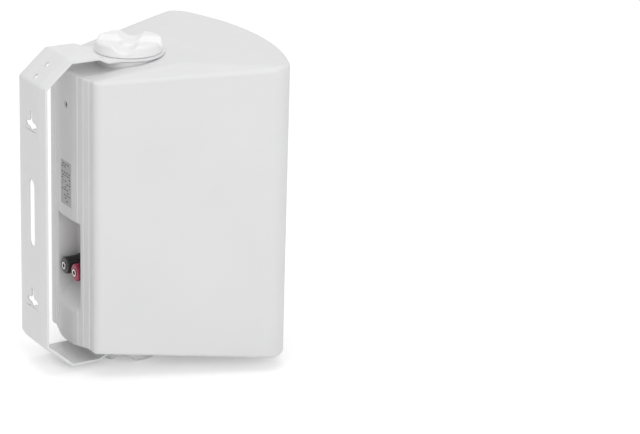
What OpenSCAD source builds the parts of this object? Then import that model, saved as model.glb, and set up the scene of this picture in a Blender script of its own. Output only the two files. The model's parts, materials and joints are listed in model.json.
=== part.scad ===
// Two-way installation speaker in a wedge-shaped cabinet, held by a swivelling U bracket.
// The cabinet's front faces -Y, the bracket's strap lies behind it at +Y, and Z is up.
// Inside the modules y = 0 is the chord between the front corners and z = 0 the cabinet's foot.

/* [Cabinet] */
// Height of the cabinet
cab_h = 250; // [200:1:320]
// Width across the virtual front corners
front_w = 200; // [190:1:215]
// Width across the virtual rear corners
rear_w = 80; // [76:1:95]
// Depth from the front chord to the proud middle of the rear
cab_depth = 149; // [140:1:165]
// How far the front bows out past its chord
bulge = 26; // [18:1:30]
// Wall thickness of the cabinet
wall = 3.5; // [2.5:0.1:4.5]
// Plan radius of the front corners
front_r = 18; // [14:1:24]
// Plan radius of the rear corners
rear_r = 8; // [7:0.5:11]
// Edge radius round the front
front_edge_r = 6; // [5:0.5:9]
// Edge radius along the sides and the rear
edge_r = 4.6; // [4.6:0.1:6]
// How far each end cap drops from its crease to the rear corners
cap_drop = 8; // [6:0.5:10]
// Distance from the front chord to the crease in the end caps
crease_y = 73.5; // [66:0.5:78]
// Half width of the crease's corner
crease_x = 49; // [42:1:52]
// Turn of the crease's inner stretches, which run forward from its corners
crease_turn = 33; // [25:1:38]
// Angle at which the end caps fall away behind the crease's inner stretches
cap_fall = 8.5; // [6:0.5:10]
// How far the seats of the bracket lie below the end caps
seat_drop = 2.7; // [1.5:0.1:3.5]

/* [Rear ribs] */
// Half width of the innermost rib
rib_x = 17; // [15:0.5:20]
// Distance from one rib's edge to the next
rib_pitch = 7; // [5:0.5:7]
// Height of each step
rib_step = 1.7; // [1:0.1:2.2]
// Length over which the ribs run out on the end caps
rib_run = 22; // [15:1:30]

/* [Terminal recess] */
// Width of the recess
recess_w = 40; // [36:1:44]
// Height of the recess's upper edge above the foot
recess_top = 116; // [105:1:118]
// Height at which the recess's ramp meets the rear
recess_low = 40; // [36:1:50]
// Height at which the ramp meets the recess's back wall
recess_ramp = 60; // [50:1:61]
// Depth of the recess
recess_depth = 20; // [16:1:24]
// Height of the terminals above the foot
post_z = 71; // [70:1:96]
// Distance between the terminals
post_pitch = 19; // [18:0.5:20]
// Radius of a terminal cap
post_cap_r = 7.2; // [6:0.1:8]
// Length of a terminal cap
post_cap_l = 14; // [11:0.5:16]
// Radius of a terminal stud
post_stud_r = 3; // [2.7:0.1:3.5]
// Radius of the plug socket in a terminal stud
socket_r = 2; // [1.9:0.05:2.1]
// Depth of the plug socket
socket_depth = 13; // [9:0.5:15]
// Thickness of a terminal's collar
collar_t = 3; // [2:0.5:4]

/* [Label and rear screw] */
// Width of the label
label_w = 18; // [12:1:28]
// Height of the label
label_h = 37; // [20:1:40]
// Height of the label's middle above the foot
label_z = 145.5; // [142:0.5:160]
// Thickness of the label
label_t = 0.3; // [0.2:0.1:0.5]
// Height of the rear screw above the foot
rear_screw_z = 212; // [206:1:216]
// Radius of the rear screw's countersunk hole
rear_screw_r = 2.6; // [2.2:0.1:3.2]

/* [Bracket] */
// Distance from the front chord to the swivel axis
pivot_y = 93; // [88:1:98]
// Thickness of the bracket's sheet
sheet = 2; // [1.5:0.1:2.5]
// Width of the bracket
strap_w = 47.5; // [44:0.5:50]
// Width of the raised middle of the bracket
strap_mid_w = 30; // [24:1:34]
// Height of the raised middle above the bracket's edges
strap_rise = 1.6; // [0.6:0.1:2.5]
// Distance from the swivel axis to the strap's outer face
strap_out = 87; // [85:1:100]
// Run of each diagonal along the depth
diag_y = 24; // [14:0.5:26]
// Run of each diagonal along the height
diag_z = 21; // [14:0.5:24]
// Radius of the bracket's round ends
disc_r = 29; // [25:0.5:32]
// Gap between the end caps and the round ends
disc_gap = 1; // [0.8:0.1:2]
// Height of the joggle from the round ends up to the arms
arm_lift = 4; // [3:0.1:6]
// Distance from the swivel axis at which the joggle starts
rise_start = 30; // [29.5:0.5:32]
// Length of the joggle
rise_run = 7; // [4:0.5:10]
// Radius of the fillets between the arms and the round ends
neck_r = 14; // [8:1:18]
// Radius of the round holes in the diagonals
diag_hole_r = 2.5; // [2:0.1:3]
// Length of the long slot in the strap
slot_l = 57; // [40:1:70]
// Width of the long slot in the strap
slot_w = 11; // [5:0.5:12]
// Radius of the keyholes
key_r = 4.7; // [4:0.1:6]
// Width of the keyholes' slots
key_slot_w = 4.5; // [4:0.1:5]
// Length of a keyhole's upward slot from its middle
key_up = 11.5; // [9:0.5:14]
// Length of a keyhole's side slots from its middle
key_side = 10; // [7:0.5:12]
// Distance from the strap's upper bend to the upper keyhole
key_top = 35.3; // [30:0.1:45]
// Distance from the strap's lower bend to the lower keyhole
key_low = 34.2; // [28:0.1:45]

/* [Knobs] */
// Radius of a knob
knob_r = 27.5; // [24:0.5:28.5]
// Height of a knob
knob_h = 9.5; // [9:0.5:16]
// Radius of a knob's outer edge
knob_edge_r = 2.5; // [1:0.5:4]
// Radius of the finger grooves across a knob's face
groove_r = 11; // [8:0.5:13]
// Depth of the finger grooves
groove_depth = 5; // [3:0.5:7]
// Radius of the hub in the middle of a knob's face
hub_r = 7; // [5:0.5:9]
// Turn of the knobs at rest
knob_turn = 10; // [0:1:89]
// Radius of the studs
stud_r = 4; // [3:0.5:5]
// Length of the studs below the knobs
stud_l = 20; // [16:1:24]

/* [Drivers] */
// Height of the woofer's axis above the foot
woofer_z = 94; // [92:1:100]
// Outer radius of the woofer
woofer_r = 66; // [60:0.5:67]
// Depth of the woofer's basket
basket_depth = 38; // [32:1:42]
// Radius of the woofer's magnet
magnet_r = 40; // [32:1:42]
// Thickness of the woofer's magnet
magnet_t = 15; // [10:1:18]
// Radius of the voice coil
coil_r = 13; // [11:0.5:15]
// Height of the tweeter's axis above the foot
tweeter_z = 196; // [195:1:200]
// Outer radius of the tweeter
tweeter_r = 29; // [25:0.5:30]
// Radius of the tweeter's dome
dome_r = 12.5; // [9:0.5:14]

/* [Front] */
// Width of the rim round the front opening
rim = 14; // [12:0.5:18]
// Thickness of the baffle
baffle_t = 5; // [4:0.5:7]
// Thickness of the grille's sheet
grille_t = 1; // [0.8:0.1:1.5]
// Radius of the grille's holes
grille_hole_r = 4; // [2:0.1:5]
// Columns of grille holes
grille_cols = 9; // [5:1:9]
// Rows of grille holes
grille_rows = 13; // [7:1:13]

/* [Hidden] */

// Clearance between moving pieces, and of a shaft in its hole
gap = 0.3;
run_fit = 0.08;
tiny = 0.01;
$fn = 64;

// Plan of the cabinet
side_slope = (front_w - rear_w) / 2 / cab_depth;
side_angle = atan(side_slope);
front_arc_r = (pow(front_w / 2, 2) + pow(bulge, 2)) / (2 * bulge);
front_arc_y = front_arc_r - bulge;
rear_y = cab_depth - 3 * rib_step;
function half_w(y) = front_w / 2 - side_slope * y;
// Centre of a corner circle of radius r that touches the side wall at depth y
function corner_x(y, r) = half_w(y) - r / cos(side_angle);
// Front corner's circle touches the side wall and the bowed front
corner_q = corner_x(0, front_r) * side_slope + front_arc_y;
corner_k = pow(corner_x(0, front_r), 2) + pow(front_arc_y, 2) - pow(front_arc_r - front_r, 2);
corner_m = 1 + pow(side_slope, 2);
front_corner_y = (corner_q - sqrt(pow(corner_q, 2) - corner_m * corner_k)) / corner_m;
front_corner = [corner_x(front_corner_y, front_r), front_corner_y];
rear_corner = [corner_x(rear_y - rear_r, rear_r), rear_y - rear_r];
// Steps of the bowed front between its corners
arc_steps = 12;
arc_reach = asin(front_corner[0] / (front_arc_r - front_r));

// Bracket, as distances from the swivel axis and from the cabinet's middle height
mid_z = cab_h / 2;
seat_z = mid_z - seat_drop;
disc_in = seat_z + disc_gap;
arm_out = disc_in + sheet + arm_lift + strap_rise;
strap_top = arm_out - diag_z;
arm_end = strap_out - diag_y;
diag_angle = atan2(diag_z, diag_y);
diag_l = norm([diag_y, diag_z]);

// Knobs and overall place
knob_in = disc_in + sheet + gap;
knob_out = knob_in + knob_h;
y_mid = (pivot_y + strap_out - bulge) / 2;

// Front
open_w = front_w - 2 * rim;
open_h = cab_h - 2 * rim;
open_r = 16;
baffle_y = 5;
ledge_y = baffle_y + baffle_t + 1;
ledge_w = 8;
ledge_t = 3;
fit = 0.3;
// Radius of the baffle screws' heads, and the solid rim round the grille's holes
baffle_head_r = 2.8;
grille_margin = 11;

// Inside of the rear wall and of the recess's back wall
rear_in = rear_y - wall;
recess_back = cab_depth - recess_depth;
washer_t = disc_gap - gap;
insert_r = 7;
pad_r = disc_r - 3;
insert_l = stud_l - 2;
boss_r = insert_r + 3;
plate_t = 3;
former_t = 0.5;
surround_out = woofer_r - 9;
surround_in = surround_out - 10;
// Reach of the blocks that cut pieces away
far = 2 * cab_h;

// Moves a piece from the cabinet's own axes to the part's origin, under the middle of its box
module place() {
    translate([0, -y_mid, knob_out - mid_z]) children();
}

module place_at_pivot() {
    translate([0, pivot_y, mid_z]) children();
}

// Repeats a piece on the other end cap
module at_bottom() {
    mirror([0, 0, 1]) children();
}

module on_axis_y(z) {
    translate([0, 0, z]) rotate([-90, 0, 0]) children();
}

module torus(ring_r, r) {
    rotate_extrude($fn = 32) intersection() {
        translate([ring_r, 0]) circle(r = r, $fn = 24);
        translate([0, -r]) square([ring_r + r, 2 * r]);
    }
}

// Block above the facet behind one of the crease's inner stretches
module valley_block(inset) {
    intersection() {
        translate([crease_x, crease_y, cab_h - inset]) rotate([-cap_fall, 0, crease_turn])
            translate([-far, -far, 0]) cube([2 * far, 2 * far, far]);
        translate([0, -far, 0]) cube([far, 2 * far, far]);
    }
}

// Cabinet form, with all faces moved in by inset
module form(inset) {
    difference() {
        hull() for (end = [-1, 1]) {
            for (side = [-1, 1]) {
                translate([side * front_corner[0], front_corner[1], mid_z + end * (mid_z - front_edge_r)])
                    torus(front_r - front_edge_r, front_edge_r - inset);
                translate([side * crease_x, crease_y, mid_z + end * (mid_z - edge_r)])
                    sphere(r = edge_r - inset, $fn = 32);
                translate([side * rear_corner[0], rear_corner[1], mid_z + end * (mid_z - cap_drop - edge_r)])
                    torus(rear_r - edge_r, edge_r - inset);
            }
            for (i = [0:arc_steps]) {
                a = arc_reach * (2 * i / arc_steps - 1);
                reach = front_arc_r - front_edge_r;
                place_y = front_arc_y - reach * cos(a);
                translate([reach * sin(a), place_y, mid_z + end * (mid_z - front_edge_r)])
                    sphere(r = front_edge_r - inset, $fn = 32);
            }
        }
        for (side = [0, 1]) mirror([side, 0, 0]) {
            valley_block(inset);
            translate([0, 0, cab_h]) at_bottom() valley_block(inset);
        }
    }
}

// Height of the rear facet of the upper end cap, from the foot
function cap_z(x, y) = cab_h
    - tan(cap_fall) * ((crease_x - x) * sin(crease_turn) + (y - crease_y) * cos(crease_turn));

// One rib layer, which stands proud of the rear by its steps and runs out on the end caps
module rib_layer(half, steps) {
    bevel = 1.5;
    start_y = rear_y - rib_run;
    start_z = cap_z(half, start_y) - mid_z - 0.3;
    end_z = cap_z(half, rear_y) - mid_z + steps * rib_step * 0.8 - 1;
    end_y = rear_y + steps * rib_step;
    translate([-half, 0, mid_z]) rotate([90, 0, 90]) linear_extrude(2 * half)
        polygon([
            [start_y, -start_z], [end_y - bevel, -end_z], [end_y, -end_z + bevel],
            [end_y, end_z - bevel], [end_y - bevel, end_z], [start_y, start_z]
        ]);
}

module recess_profile(grow) {
    polygon([
        [recess_back - grow, recess_ramp - grow],
        [recess_back - grow, recess_top - 4 + grow],
        [cab_depth + 2, recess_top + 1 + grow],
        [cab_depth + 2, recess_low - 3 - grow]
    ]);
}

module recess_block(grow) {
    translate([-recess_w / 2 - grow, 0, 0]) rotate([90, 0, 90])
        linear_extrude(recess_w + 2 * grow) recess_profile(grow);
}

module front_window(inset, y0, depth) {
    w = open_w - 2 * inset;
    h = open_h - 2 * inset;
    r = open_r - inset;
    translate([0, y0 + depth, mid_z]) rotate([90, 0, 0]) linear_extrude(depth) union() {
        square([w - 2 * r, h], center = true);
        square([w, h - 2 * r], center = true);
        for (x = [-1, 1]) for (z = [-1, 1])
            translate([x * (w / 2 - r), z * (h / 2 - r)]) circle(r = r);
    }
}

// Cylinder on the swivel axis that ends at each seat of the bracket
module seat_cylinders(r, l) {
    place_at_pivot() for (end = [0, 1]) mirror([0, 0, end])
        translate([0, 0, seat_z - l]) cylinder(r = r, h = l);
}

board_w = 44;
board_low = 130;
board_h = rear_screw_z + 5 - board_low;
board_t = 1.6;
board_y = rear_in - 8;
standoff_x = board_w / 2 - 4;
standoff_low = board_low + 5;
module standoffs() {
    for (x = [-1, 1]) translate([x * standoff_x, board_y + board_t, standoff_low]) rotate([-90, 0, 0])
        cylinder(r = 3.5, h = rear_in - board_y);
    translate([0, board_y + board_t, rear_screw_z]) rotate([-90, 0, 0])
        cylinder(r = 5, h = rear_in - board_y);
}

// Ledge that the baffle's seal sits on
module ledge() {
    difference() {
        translate([-front_w, ledge_y, 0]) cube([2 * front_w, ledge_t, cab_h]);
        front_window(ledge_w, ledge_y - 1, ledge_t + 2);
    }
}

module cabinet_shell() {
    color([0.9, 0.9, 0.9]) difference() {
        union() {
            difference() {
                union() {
                    form(0);
                    for (k = [0:2]) rib_layer(rib_x + k * rib_pitch, 3 - k);
                }
                form(wall);
            }
            intersection() {
                form(wall / 2);
                union() {
                    ledge();
                    recess_block(wall);
                    standoffs();
                    seat_cylinders(boss_r, insert_l + 3);
                }
            }
            seat_cylinders(pad_r, 3 * wall);
        }
        recess_block(0);
        front_window(0, -2 * bulge, 2 * bulge + ledge_y);
        seat_cylinders(insert_r, insert_l);
        for (x = [-1, 1]) {
            translate([x * post_pitch / 2, recess_back - 2 * wall, post_z]) rotate([-90, 0, 0])
                cylinder(r = post_stud_r + 0.2, h = 3 * wall);
            translate([x * standoff_x, board_y + board_t - tiny, standoff_low]) rotate([-90, 0, 0])
                cylinder(r = 1.3, h = 7);
        }
        for (x = [-1, 1]) for (z = [-1, 0, 1])
            baffle_screw_at(x, z) cylinder(r = 1.5, h = 20);
        translate([0, board_y, rear_screw_z]) rotate([-90, 0, 0]) cylinder(r = 1.6, h = cab_depth);
        on_axis_y(rear_screw_z) translate([0, 0, cab_depth - 3]) cylinder(r = rear_screw_r, h = 10);
    }
}

// Place of a baffle screw: the corner ones lie on the diagonals of the opening's round corners
module baffle_screw_at(x, z) {
    edge = fit + grille_t + baffle_head_r + 2 * gap;
    corner = open_r - (open_r - edge) * cos(45);
    inset = z == 0 ? edge : corner;
    translate([x * (open_w / 2 - inset), baffle_y - 1, mid_z + z * (open_h / 2 - inset)])
        rotate([-90, 0, 0]) children();
}

module front_baffle() {
    color([0.16, 0.16, 0.17]) difference() {
        front_window(fit, baffle_y, baffle_t);
        on_axis_y(woofer_z) cylinder(r = woofer_r - 6, h = 2 * bulge);
        on_axis_y(tweeter_z) cylinder(r = tweeter_r - 6, h = 2 * bulge);
        for (x = [-1, 1]) for (z = [-1, 0, 1]) baffle_screw_at(x, z) cylinder(r = 1.7, h = 40);
        for (a = [45:90:315]) on_axis_y(woofer_z) rotate([0, 0, a])
            translate([woofer_screw_x, 0, 0]) cylinder(r = 1.3, h = 2 * bulge);
        for (a = [45:90:315]) on_axis_y(tweeter_z) rotate([0, 0, a])
            translate([tweeter_screw_x, 0, 0]) cylinder(r = 1.1, h = 2 * bulge);
    }
}

module baffle_seal() {
    color([0.1, 0.1, 0.1]) difference() {
        front_window(fit, baffle_y + baffle_t, 1);
        front_window(ledge_w, baffle_y, baffle_t + 2);
        for (x = [-1, 1]) for (z = [-1, 0, 1]) baffle_screw_at(x, z) cylinder(r = 1.7, h = 40);
    }
}

// Pan-head screw, its head's seat at z = 0 and its shank going up
module screw(r, l, head_r, head_h) {
    cylinder(r = r, h = l);
    difference() {
        translate([0, 0, -head_h]) cylinder(r = head_r, h = head_h);
        for (a = [0, 90]) rotate([0, 0, a])
            translate([-head_r * 0.6, -0.3, -head_h - 1]) cube([head_r * 1.2, 0.6, 1 + head_h / 2]);
    }
}

module baffle_screws() {
    color([0.3, 0.3, 0.32]) for (x = [-1, 1]) for (z = [-1, 0, 1])
        baffle_screw_at(x, z) translate([0, 0, 1]) screw(1.4, baffle_t + 4, baffle_head_r, 1.6);
}

// Bowed front, moved in by inset, from its face back to the plane y1
module bowed_front(inset, y1) {
    intersection() {
        front_window(fit + inset, -2 * bulge, 2 * bulge + y1);
        translate([0, front_arc_y, 0]) cylinder(r = front_arc_r - 0.5 - inset, h = cab_h, $fn = 128);
    }
}

module grille() {
    pitch_x = (open_w - 2 * grille_margin) / grille_cols;
    pitch_z = (open_h - 2 * grille_margin) / grille_rows;
    color([0.85, 0.85, 0.85]) difference() {
        bowed_front(0, baffle_y);
        bowed_front(grille_t, baffle_y + 1);
        for (i = [0:grille_cols - 1]) for (k = [0:grille_rows - 1])
            translate([(i - (grille_cols - 1) / 2) * pitch_x, -2 * bulge, 0])
                on_axis_y(mid_z + (k - (grille_rows - 1) / 2) * pitch_z)
                    cylinder(r = grille_hole_r, h = 2 * bulge);
    }
}

module grille_cloth() {
    color([0.2, 0.2, 0.21]) difference() {
        bowed_front(grille_t, 0);
        bowed_front(grille_t + 0.6, 1);
    }
}

module ring(r_out, r_in, y0, y1) {
    translate([0, 0, y0]) difference() {
        cylinder(r = r_out, h = y1 - y0);
        translate([0, 0, -1]) cylinder(r = r_in, h = y1 - y0 + 2);
    }
}

// Woofer, along its axis from the front: all distances count from the front chord
flange_y = baffle_y - plate_t;
basket_y = flange_y + basket_depth;
shelf_y = basket_y - 6;
basket_r = woofer_r - 7;
woofer_screw_x = woofer_r - 3;
tweeter_screw_x = tweeter_r - 3;
pole_r = coil_r - 0.5;
coil_out = coil_r + former_t + 0.6;
cone_neck_y = flange_y + 18;

module woofer_basket() {
    foot_r = magnet_r - 1;
    color([0.15, 0.15, 0.16]) on_axis_y(woofer_z) difference() {
        rotate_extrude() polygon([
            [woofer_r, flange_y], [woofer_r, baffle_y], [basket_r, baffle_y], [foot_r, shelf_y],
            [foot_r, basket_y], [coil_out + 6, basket_y],
            [coil_out + 6, basket_y - 2], [foot_r - 5, basket_y - 2],
            [foot_r - 5, shelf_y], [foot_r - 2, shelf_y],
            [basket_r - 2, flange_y + 1.5], [basket_r - 2, flange_y]
        ]);
        for (a = [0:60:300]) rotate([0, 0, a])
            translate([0, -11, baffle_y + 4]) cube([woofer_r, 22, shelf_y - baffle_y - 8]);
        for (a = [45:90:315]) rotate([0, 0, a]) translate([woofer_screw_x, 0, 0]) cylinder(r = 1.6, h = 20);
    }
}

module woofer_gasket() {
    color([0.08, 0.08, 0.08]) on_axis_y(woofer_z) difference() {
        ring(woofer_r, surround_out + 3.3, flange_y - 1.2, flange_y);
        for (a = [45:90:315]) rotate([0, 0, a])
            translate([woofer_screw_x, 0, flange_y - 3]) cylinder(r = 2.9, h = 5);
    }
}

module woofer_surround() {
    mid_r = (surround_out + surround_in) / 2;
    roll_r = (surround_out - surround_in) / 2;
    color([0.1, 0.1, 0.1]) on_axis_y(woofer_z) rotate_extrude() union() {
        difference() {
            translate([mid_r, flange_y]) circle(r = roll_r, $fn = 48);
            translate([mid_r, flange_y]) circle(r = roll_r - 0.8, $fn = 48);
            translate([mid_r - 2 * roll_r, flange_y]) square(4 * roll_r);
        }
        translate([surround_out - 0.8, flange_y - 0.8]) square([3.6, 0.8]);
        translate([surround_in - 2, flange_y - 0.8]) square([2.8, 0.8]);
    }
}

module woofer_cone() {
    neck_r = coil_r + former_t;
    color([0.12, 0.12, 0.13]) on_axis_y(woofer_z) rotate_extrude() polygon([
        [neck_r, cone_neck_y], [surround_in - 3, flange_y], [surround_in, flange_y],
        [surround_in, flange_y + 0.8], [surround_in - 2.6, flange_y + 0.8], [neck_r, cone_neck_y + 1.2]
    ]);
}

module dust_cap() {
    cap_r = 17;
    dome = 22;
    cone_slope = 18 / (surround_in - 3 - coil_r - former_t);
    seat_y = cone_neck_y - cone_slope * (cap_r - coil_r - former_t);
    centre_y = seat_y + sqrt(dome * dome - cap_r * cap_r);
    color([0.12, 0.12, 0.13]) on_axis_y(woofer_z) rotate_extrude() intersection() {
        difference() {
            translate([0, centre_y]) circle(r = dome);
            translate([0, centre_y]) circle(r = dome - 0.8);
        }
        translate([0, seat_y - dome]) square([cap_r, dome]);
    }
}

module voice_coil() {
    color([0.65, 0.4, 0.2]) on_axis_y(woofer_z) {
        ring(coil_r + former_t, coil_r, cone_neck_y - 1, basket_y + 10);
        ring(coil_out, coil_r + former_t, basket_y - 1, basket_y + 5);
    }
}

module woofer_spider() {
    inner = coil_r + former_t;
    outer = magnet_r - 3.2;
    steps = 24;
    lift = 1.1;
    function wave(i) = i > steps - 4 ? 0 : lift * sin(360 * 3 * i / steps);
    color([0.8, 0.6, 0.25]) on_axis_y(woofer_z) rotate_extrude() polygon(concat(
        [for (i = [0:steps]) [inner + (outer - inner) * i / steps, shelf_y - 0.6 - wave(i)]],
        [for (i = [steps:-1:0]) [inner + (outer - inner) * i / steps, shelf_y - wave(i)]]
    ));
}

module woofer_top_plate() {
    color([0.6, 0.6, 0.62]) on_axis_y(woofer_z)
        ring(magnet_r - 3, coil_out + gap, basket_y, basket_y + plate_t);
}

module woofer_magnet() {
    y0 = basket_y + plate_t;
    color([0.2, 0.2, 0.2]) on_axis_y(woofer_z) ring(magnet_r, coil_out + 4, y0, y0 + magnet_t);
}

module woofer_yoke() {
    y1 = basket_y + plate_t + magnet_t;
    color([0.6, 0.6, 0.62]) on_axis_y(woofer_z) {
        translate([0, 0, y1]) cylinder(r = magnet_r - 2, h = 4);
        translate([0, 0, basket_y]) cylinder(r = pole_r, h = y1 - basket_y + 1);
    }
}

module woofer_screws() {
    color([0.3, 0.3, 0.32]) on_axis_y(woofer_z) for (a = [45:90:315]) rotate([0, 0, a])
        translate([woofer_screw_x, 0, flange_y]) screw(1.3, 9, 2.6, 1.5);
}

tweeter_back = baffle_y + 3;

module tweeter_faceplate() {
    color([0.13, 0.13, 0.14]) on_axis_y(tweeter_z) difference() {
        union() {
            translate([0, 0, flange_y]) cylinder(r = tweeter_r, h = plate_t);
            translate([0, 0, baffle_y - 1]) cylinder(r = tweeter_r - 7, h = tweeter_back - baffle_y + 1);
        }
        translate([0, 0, flange_y - tiny]) cylinder(r1 = dome_r + 7, r2 = dome_r + 1.5, h = plate_t);
        cylinder(r = dome_r + 1.5, h = 20);
        for (a = [45:90:315]) rotate([0, 0, a]) translate([tweeter_screw_x, 0, 0]) cylinder(r = 1.4, h = 20);
    }
}

module tweeter_dome() {
    dome = dome_r * 1.25;
    centre_y = tweeter_back + sqrt(dome * dome - dome_r * dome_r);
    color([0.3, 0.25, 0.2]) on_axis_y(tweeter_z) rotate_extrude() union() {
        intersection() {
            difference() {
                translate([0, centre_y]) circle(r = dome);
                translate([0, centre_y]) circle(r = dome - 0.4);
            }
            translate([0, tweeter_back - dome]) square([dome_r + 1, dome + 0.4]);
        }
        translate([dome_r - 0.5, tweeter_back]) square([5, 0.4]);
    }
}

module tweeter_coil() {
    color([0.65, 0.4, 0.2]) on_axis_y(tweeter_z)
        ring(dome_r, dome_r - 0.7, tweeter_back + 0.4, tweeter_back + 4.4);
}

module tweeter_magnet() {
    front_y = tweeter_back + 0.4 + 2 * gap;
    color([0.3, 0.3, 0.32]) on_axis_y(tweeter_z) difference() {
        union() {
            translate([0, 0, front_y]) cylinder(r = tweeter_r - 8, h = 16);
            ring(tweeter_r - 8, dome_r + 4, tweeter_back + 0.4, front_y + 1);
        }
        ring(dome_r + gap, dome_r - 0.7 - gap, front_y - 1, front_y + 6);
    }
}

module tweeter_screws() {
    color([0.3, 0.3, 0.32]) on_axis_y(tweeter_z) for (a = [45:90:315]) rotate([0, 0, a])
        translate([tweeter_screw_x, 0, flange_y]) screw(1.1, 8, 2.1, 1.2);
}

// Crossover on the rear wall's inside: its parts' places count from the board's lower edge
board_coil_r = 14;
board_coil_z = 56;
capacitor_r = 6.5;
capacitor_l = 24;
capacitor_x = 9;
capacitor_z = 13;
resistor_w = 8;
resistor_l = 26;
resistor_x = 20;
resistor_z = 44;
module crossover_board() {
    color([0.1, 0.35, 0.2]) difference() {
        translate([-board_w / 2, board_y, board_low]) cube([board_w, board_t, board_h]);
        for (x = [-1, 1]) translate([x * standoff_x, board_y - 1, standoff_low]) rotate([-90, 0, 0])
            cylinder(r = 1.5, h = 5);
        translate([0, board_y - 1, rear_screw_z]) rotate([-90, 0, 0]) cylinder(r = 1.7, h = 5);
    }
}

module crossover_coil() {
    color([0.7, 0.4, 0.2]) translate([4, board_y, board_low + board_coil_z]) rotate([90, 0, 0])
        difference() {
            cylinder(r = board_coil_r, h = board_coil_r);
            translate([0, 0, -1]) cylinder(r = board_coil_r - 8, h = board_coil_r + 2);
        }
}

module crossover_capacitors() {
    color([0.15, 0.2, 0.4]) for (x = [-1, 1])
        translate([x * capacitor_x, board_y - capacitor_r, board_low + capacitor_z])
            cylinder(r = capacitor_r, h = capacitor_l);
}

module crossover_resistor() {
    color([0.85, 0.85, 0.8]) translate([-resistor_x, board_y - resistor_w, board_low + resistor_z])
        cube([resistor_w, resistor_w, resistor_l]);
}

module board_screws() {
    color([0.7, 0.7, 0.72]) for (x = [-1, 1]) translate([x * standoff_x, board_y, standoff_low])
        rotate([-90, 0, 0]) screw(1.3, 7, 2.6, 1.4);
}

module rear_screw() {
    color([0.25, 0.25, 0.26]) translate([0, cab_depth - 3, rear_screw_z]) rotate([90, 0, 0])
        screw(1.5, cab_depth - 3 - board_y, 2.4, 1.6);
}

module rear_label() {
    color([0.75, 0.75, 0.75]) translate([-label_w / 2, cab_depth, label_z - label_h / 2])
        cube([label_w, label_t, label_h]);
}

// Binding posts: side is 1 for the black one and -1 for the red one
module at_post(side, y) {
    translate([side * post_pitch / 2, recess_back + y, post_z]) rotate([-90, 0, 0]) children();
}

module post_collar() {
    difference() {
        cylinder(r = post_cap_r + 0.8, h = collar_t);
        translate([0, 0, -1]) cylinder(r = post_stud_r, h = collar_t + 2);
    }
}

module black_post_collar() {
    color([0.08, 0.08, 0.08]) at_post(1, 0) post_collar();
}

module red_post_collar() {
    color([0.6, 0.05, 0.1]) at_post(-1, 0) post_collar();
}

stud_back = wall + 8;
stud_front = collar_t + gap + post_cap_l + 0.8;
module post_studs() {
    color([0.8, 0.8, 0.8]) for (side = [-1, 1]) at_post(side, 0) difference() {
        translate([0, 0, -stud_back]) cylinder(r = post_stud_r, h = stud_back + stud_front);
        translate([0, 0, stud_front - socket_depth]) cylinder(r = socket_r, h = socket_depth + 1);
    }
}

module post_nuts() {
    color([0.8, 0.75, 0.5]) for (side = [-1, 1]) at_post(side, -wall - 3) difference() {
        cylinder(r = post_stud_r * 1.8, h = 3, $fn = 6);
        translate([0, 0, -1]) cylinder(r = post_stud_r, h = 5);
    }
}

module post_cap() {
    flutes = 16;
    difference() {
        rotate_extrude() union() {
            square([post_cap_r - 1, post_cap_l]);
            square([post_cap_r, post_cap_l - 1]);
            translate([post_cap_r - 1, post_cap_l - 1]) circle(r = 1, $fn = 32);
        }
        translate([0, 0, -1]) cylinder(r = post_stud_r + run_fit, h = post_cap_l + 2);
        for (i = [1:flutes]) rotate([0, 0, 360 * i / flutes])
            translate([post_cap_r + 0.3, 0, 2]) cylinder(r = 0.8, h = post_cap_l, $fn = 24);
    }
}

module black_post_cap() {
    color([0.05, 0.05, 0.05]) at_post(1, collar_t + gap) post_cap();
}

module red_post_cap() {
    color([0.65, 0.02, 0.12]) at_post(-1, collar_t + gap) post_cap();
}

module damping_pads() {
    pad_t = 8;
    pad_y = 48;
    pad_w = 60;
    pad_h = cab_h - 100;
    x = half_w(pad_y) - (wall + gap) / cos(side_angle);
    color([0.85, 0.85, 0.8]) for (side = [0, 1]) mirror([side, 0, 0])
        translate([x, pad_y, mid_z - pad_h / 2]) rotate([0, 0, side_angle])
            translate([-pad_t, 0, 0]) cube([pad_t, pad_w, pad_h]);
}

module insert() {
    difference() {
        translate([0, 0, seat_z - insert_l]) cylinder(r = insert_r, h = insert_l);
        cylinder(r = stud_r + run_fit, h = cab_h);
    }
}

module top_insert() {
    color([0.75, 0.6, 0.3]) place_at_pivot() insert();
}

module bottom_insert() {
    color([0.75, 0.6, 0.3]) place_at_pivot() at_bottom() insert();
}

module washer() {
    difference() {
        translate([0, 0, seat_z]) cylinder(r = pad_r - 1, h = washer_t);
        cylinder(r = stud_r + 1, h = cab_h);
    }
}

module top_washer() {
    color([0.2, 0.2, 0.2]) place_at_pivot() washer();
}

module bottom_washer() {
    color([0.2, 0.2, 0.2]) place_at_pivot() at_bottom() washer();
}

// Bracket: one folded sheet, which bends at bend_a and bend_b, given as [y, z] from the swivel axis
bend_a = [arm_end, arm_out];
bend_b = [strap_out, strap_top];
strap_half = strap_w / 2;
reach = 2 * strap_out;

// Outward normals of the arm, the diagonal and the strap, and the mitre between two of them
arm_normal = [0, 1];
diag_normal = [diag_z, diag_y] / diag_l;
strap_normal = [1, 0];
function mitre(a, b) = (a + b) / (1 + a * b);

// Stations of the band: a point on the raised middle's outer face, the mitre, and the rise of the middle
upper_stations = [
    [[rise_start, disc_in + sheet], arm_normal, 0],
    [[rise_start + rise_run, arm_out], arm_normal, strap_rise],
    [bend_a, mitre(arm_normal, diag_normal), strap_rise],
    [bend_b, mitre(diag_normal, strap_normal), strap_rise]
];
function flip(v) = [v[0], -v[1]];
stations = concat(
    upper_stations,
    [for (i = [3:-1:0]) [flip(upper_stations[i][0]), flip(upper_stations[i][1]), upper_stations[i][2]]]
);

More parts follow.
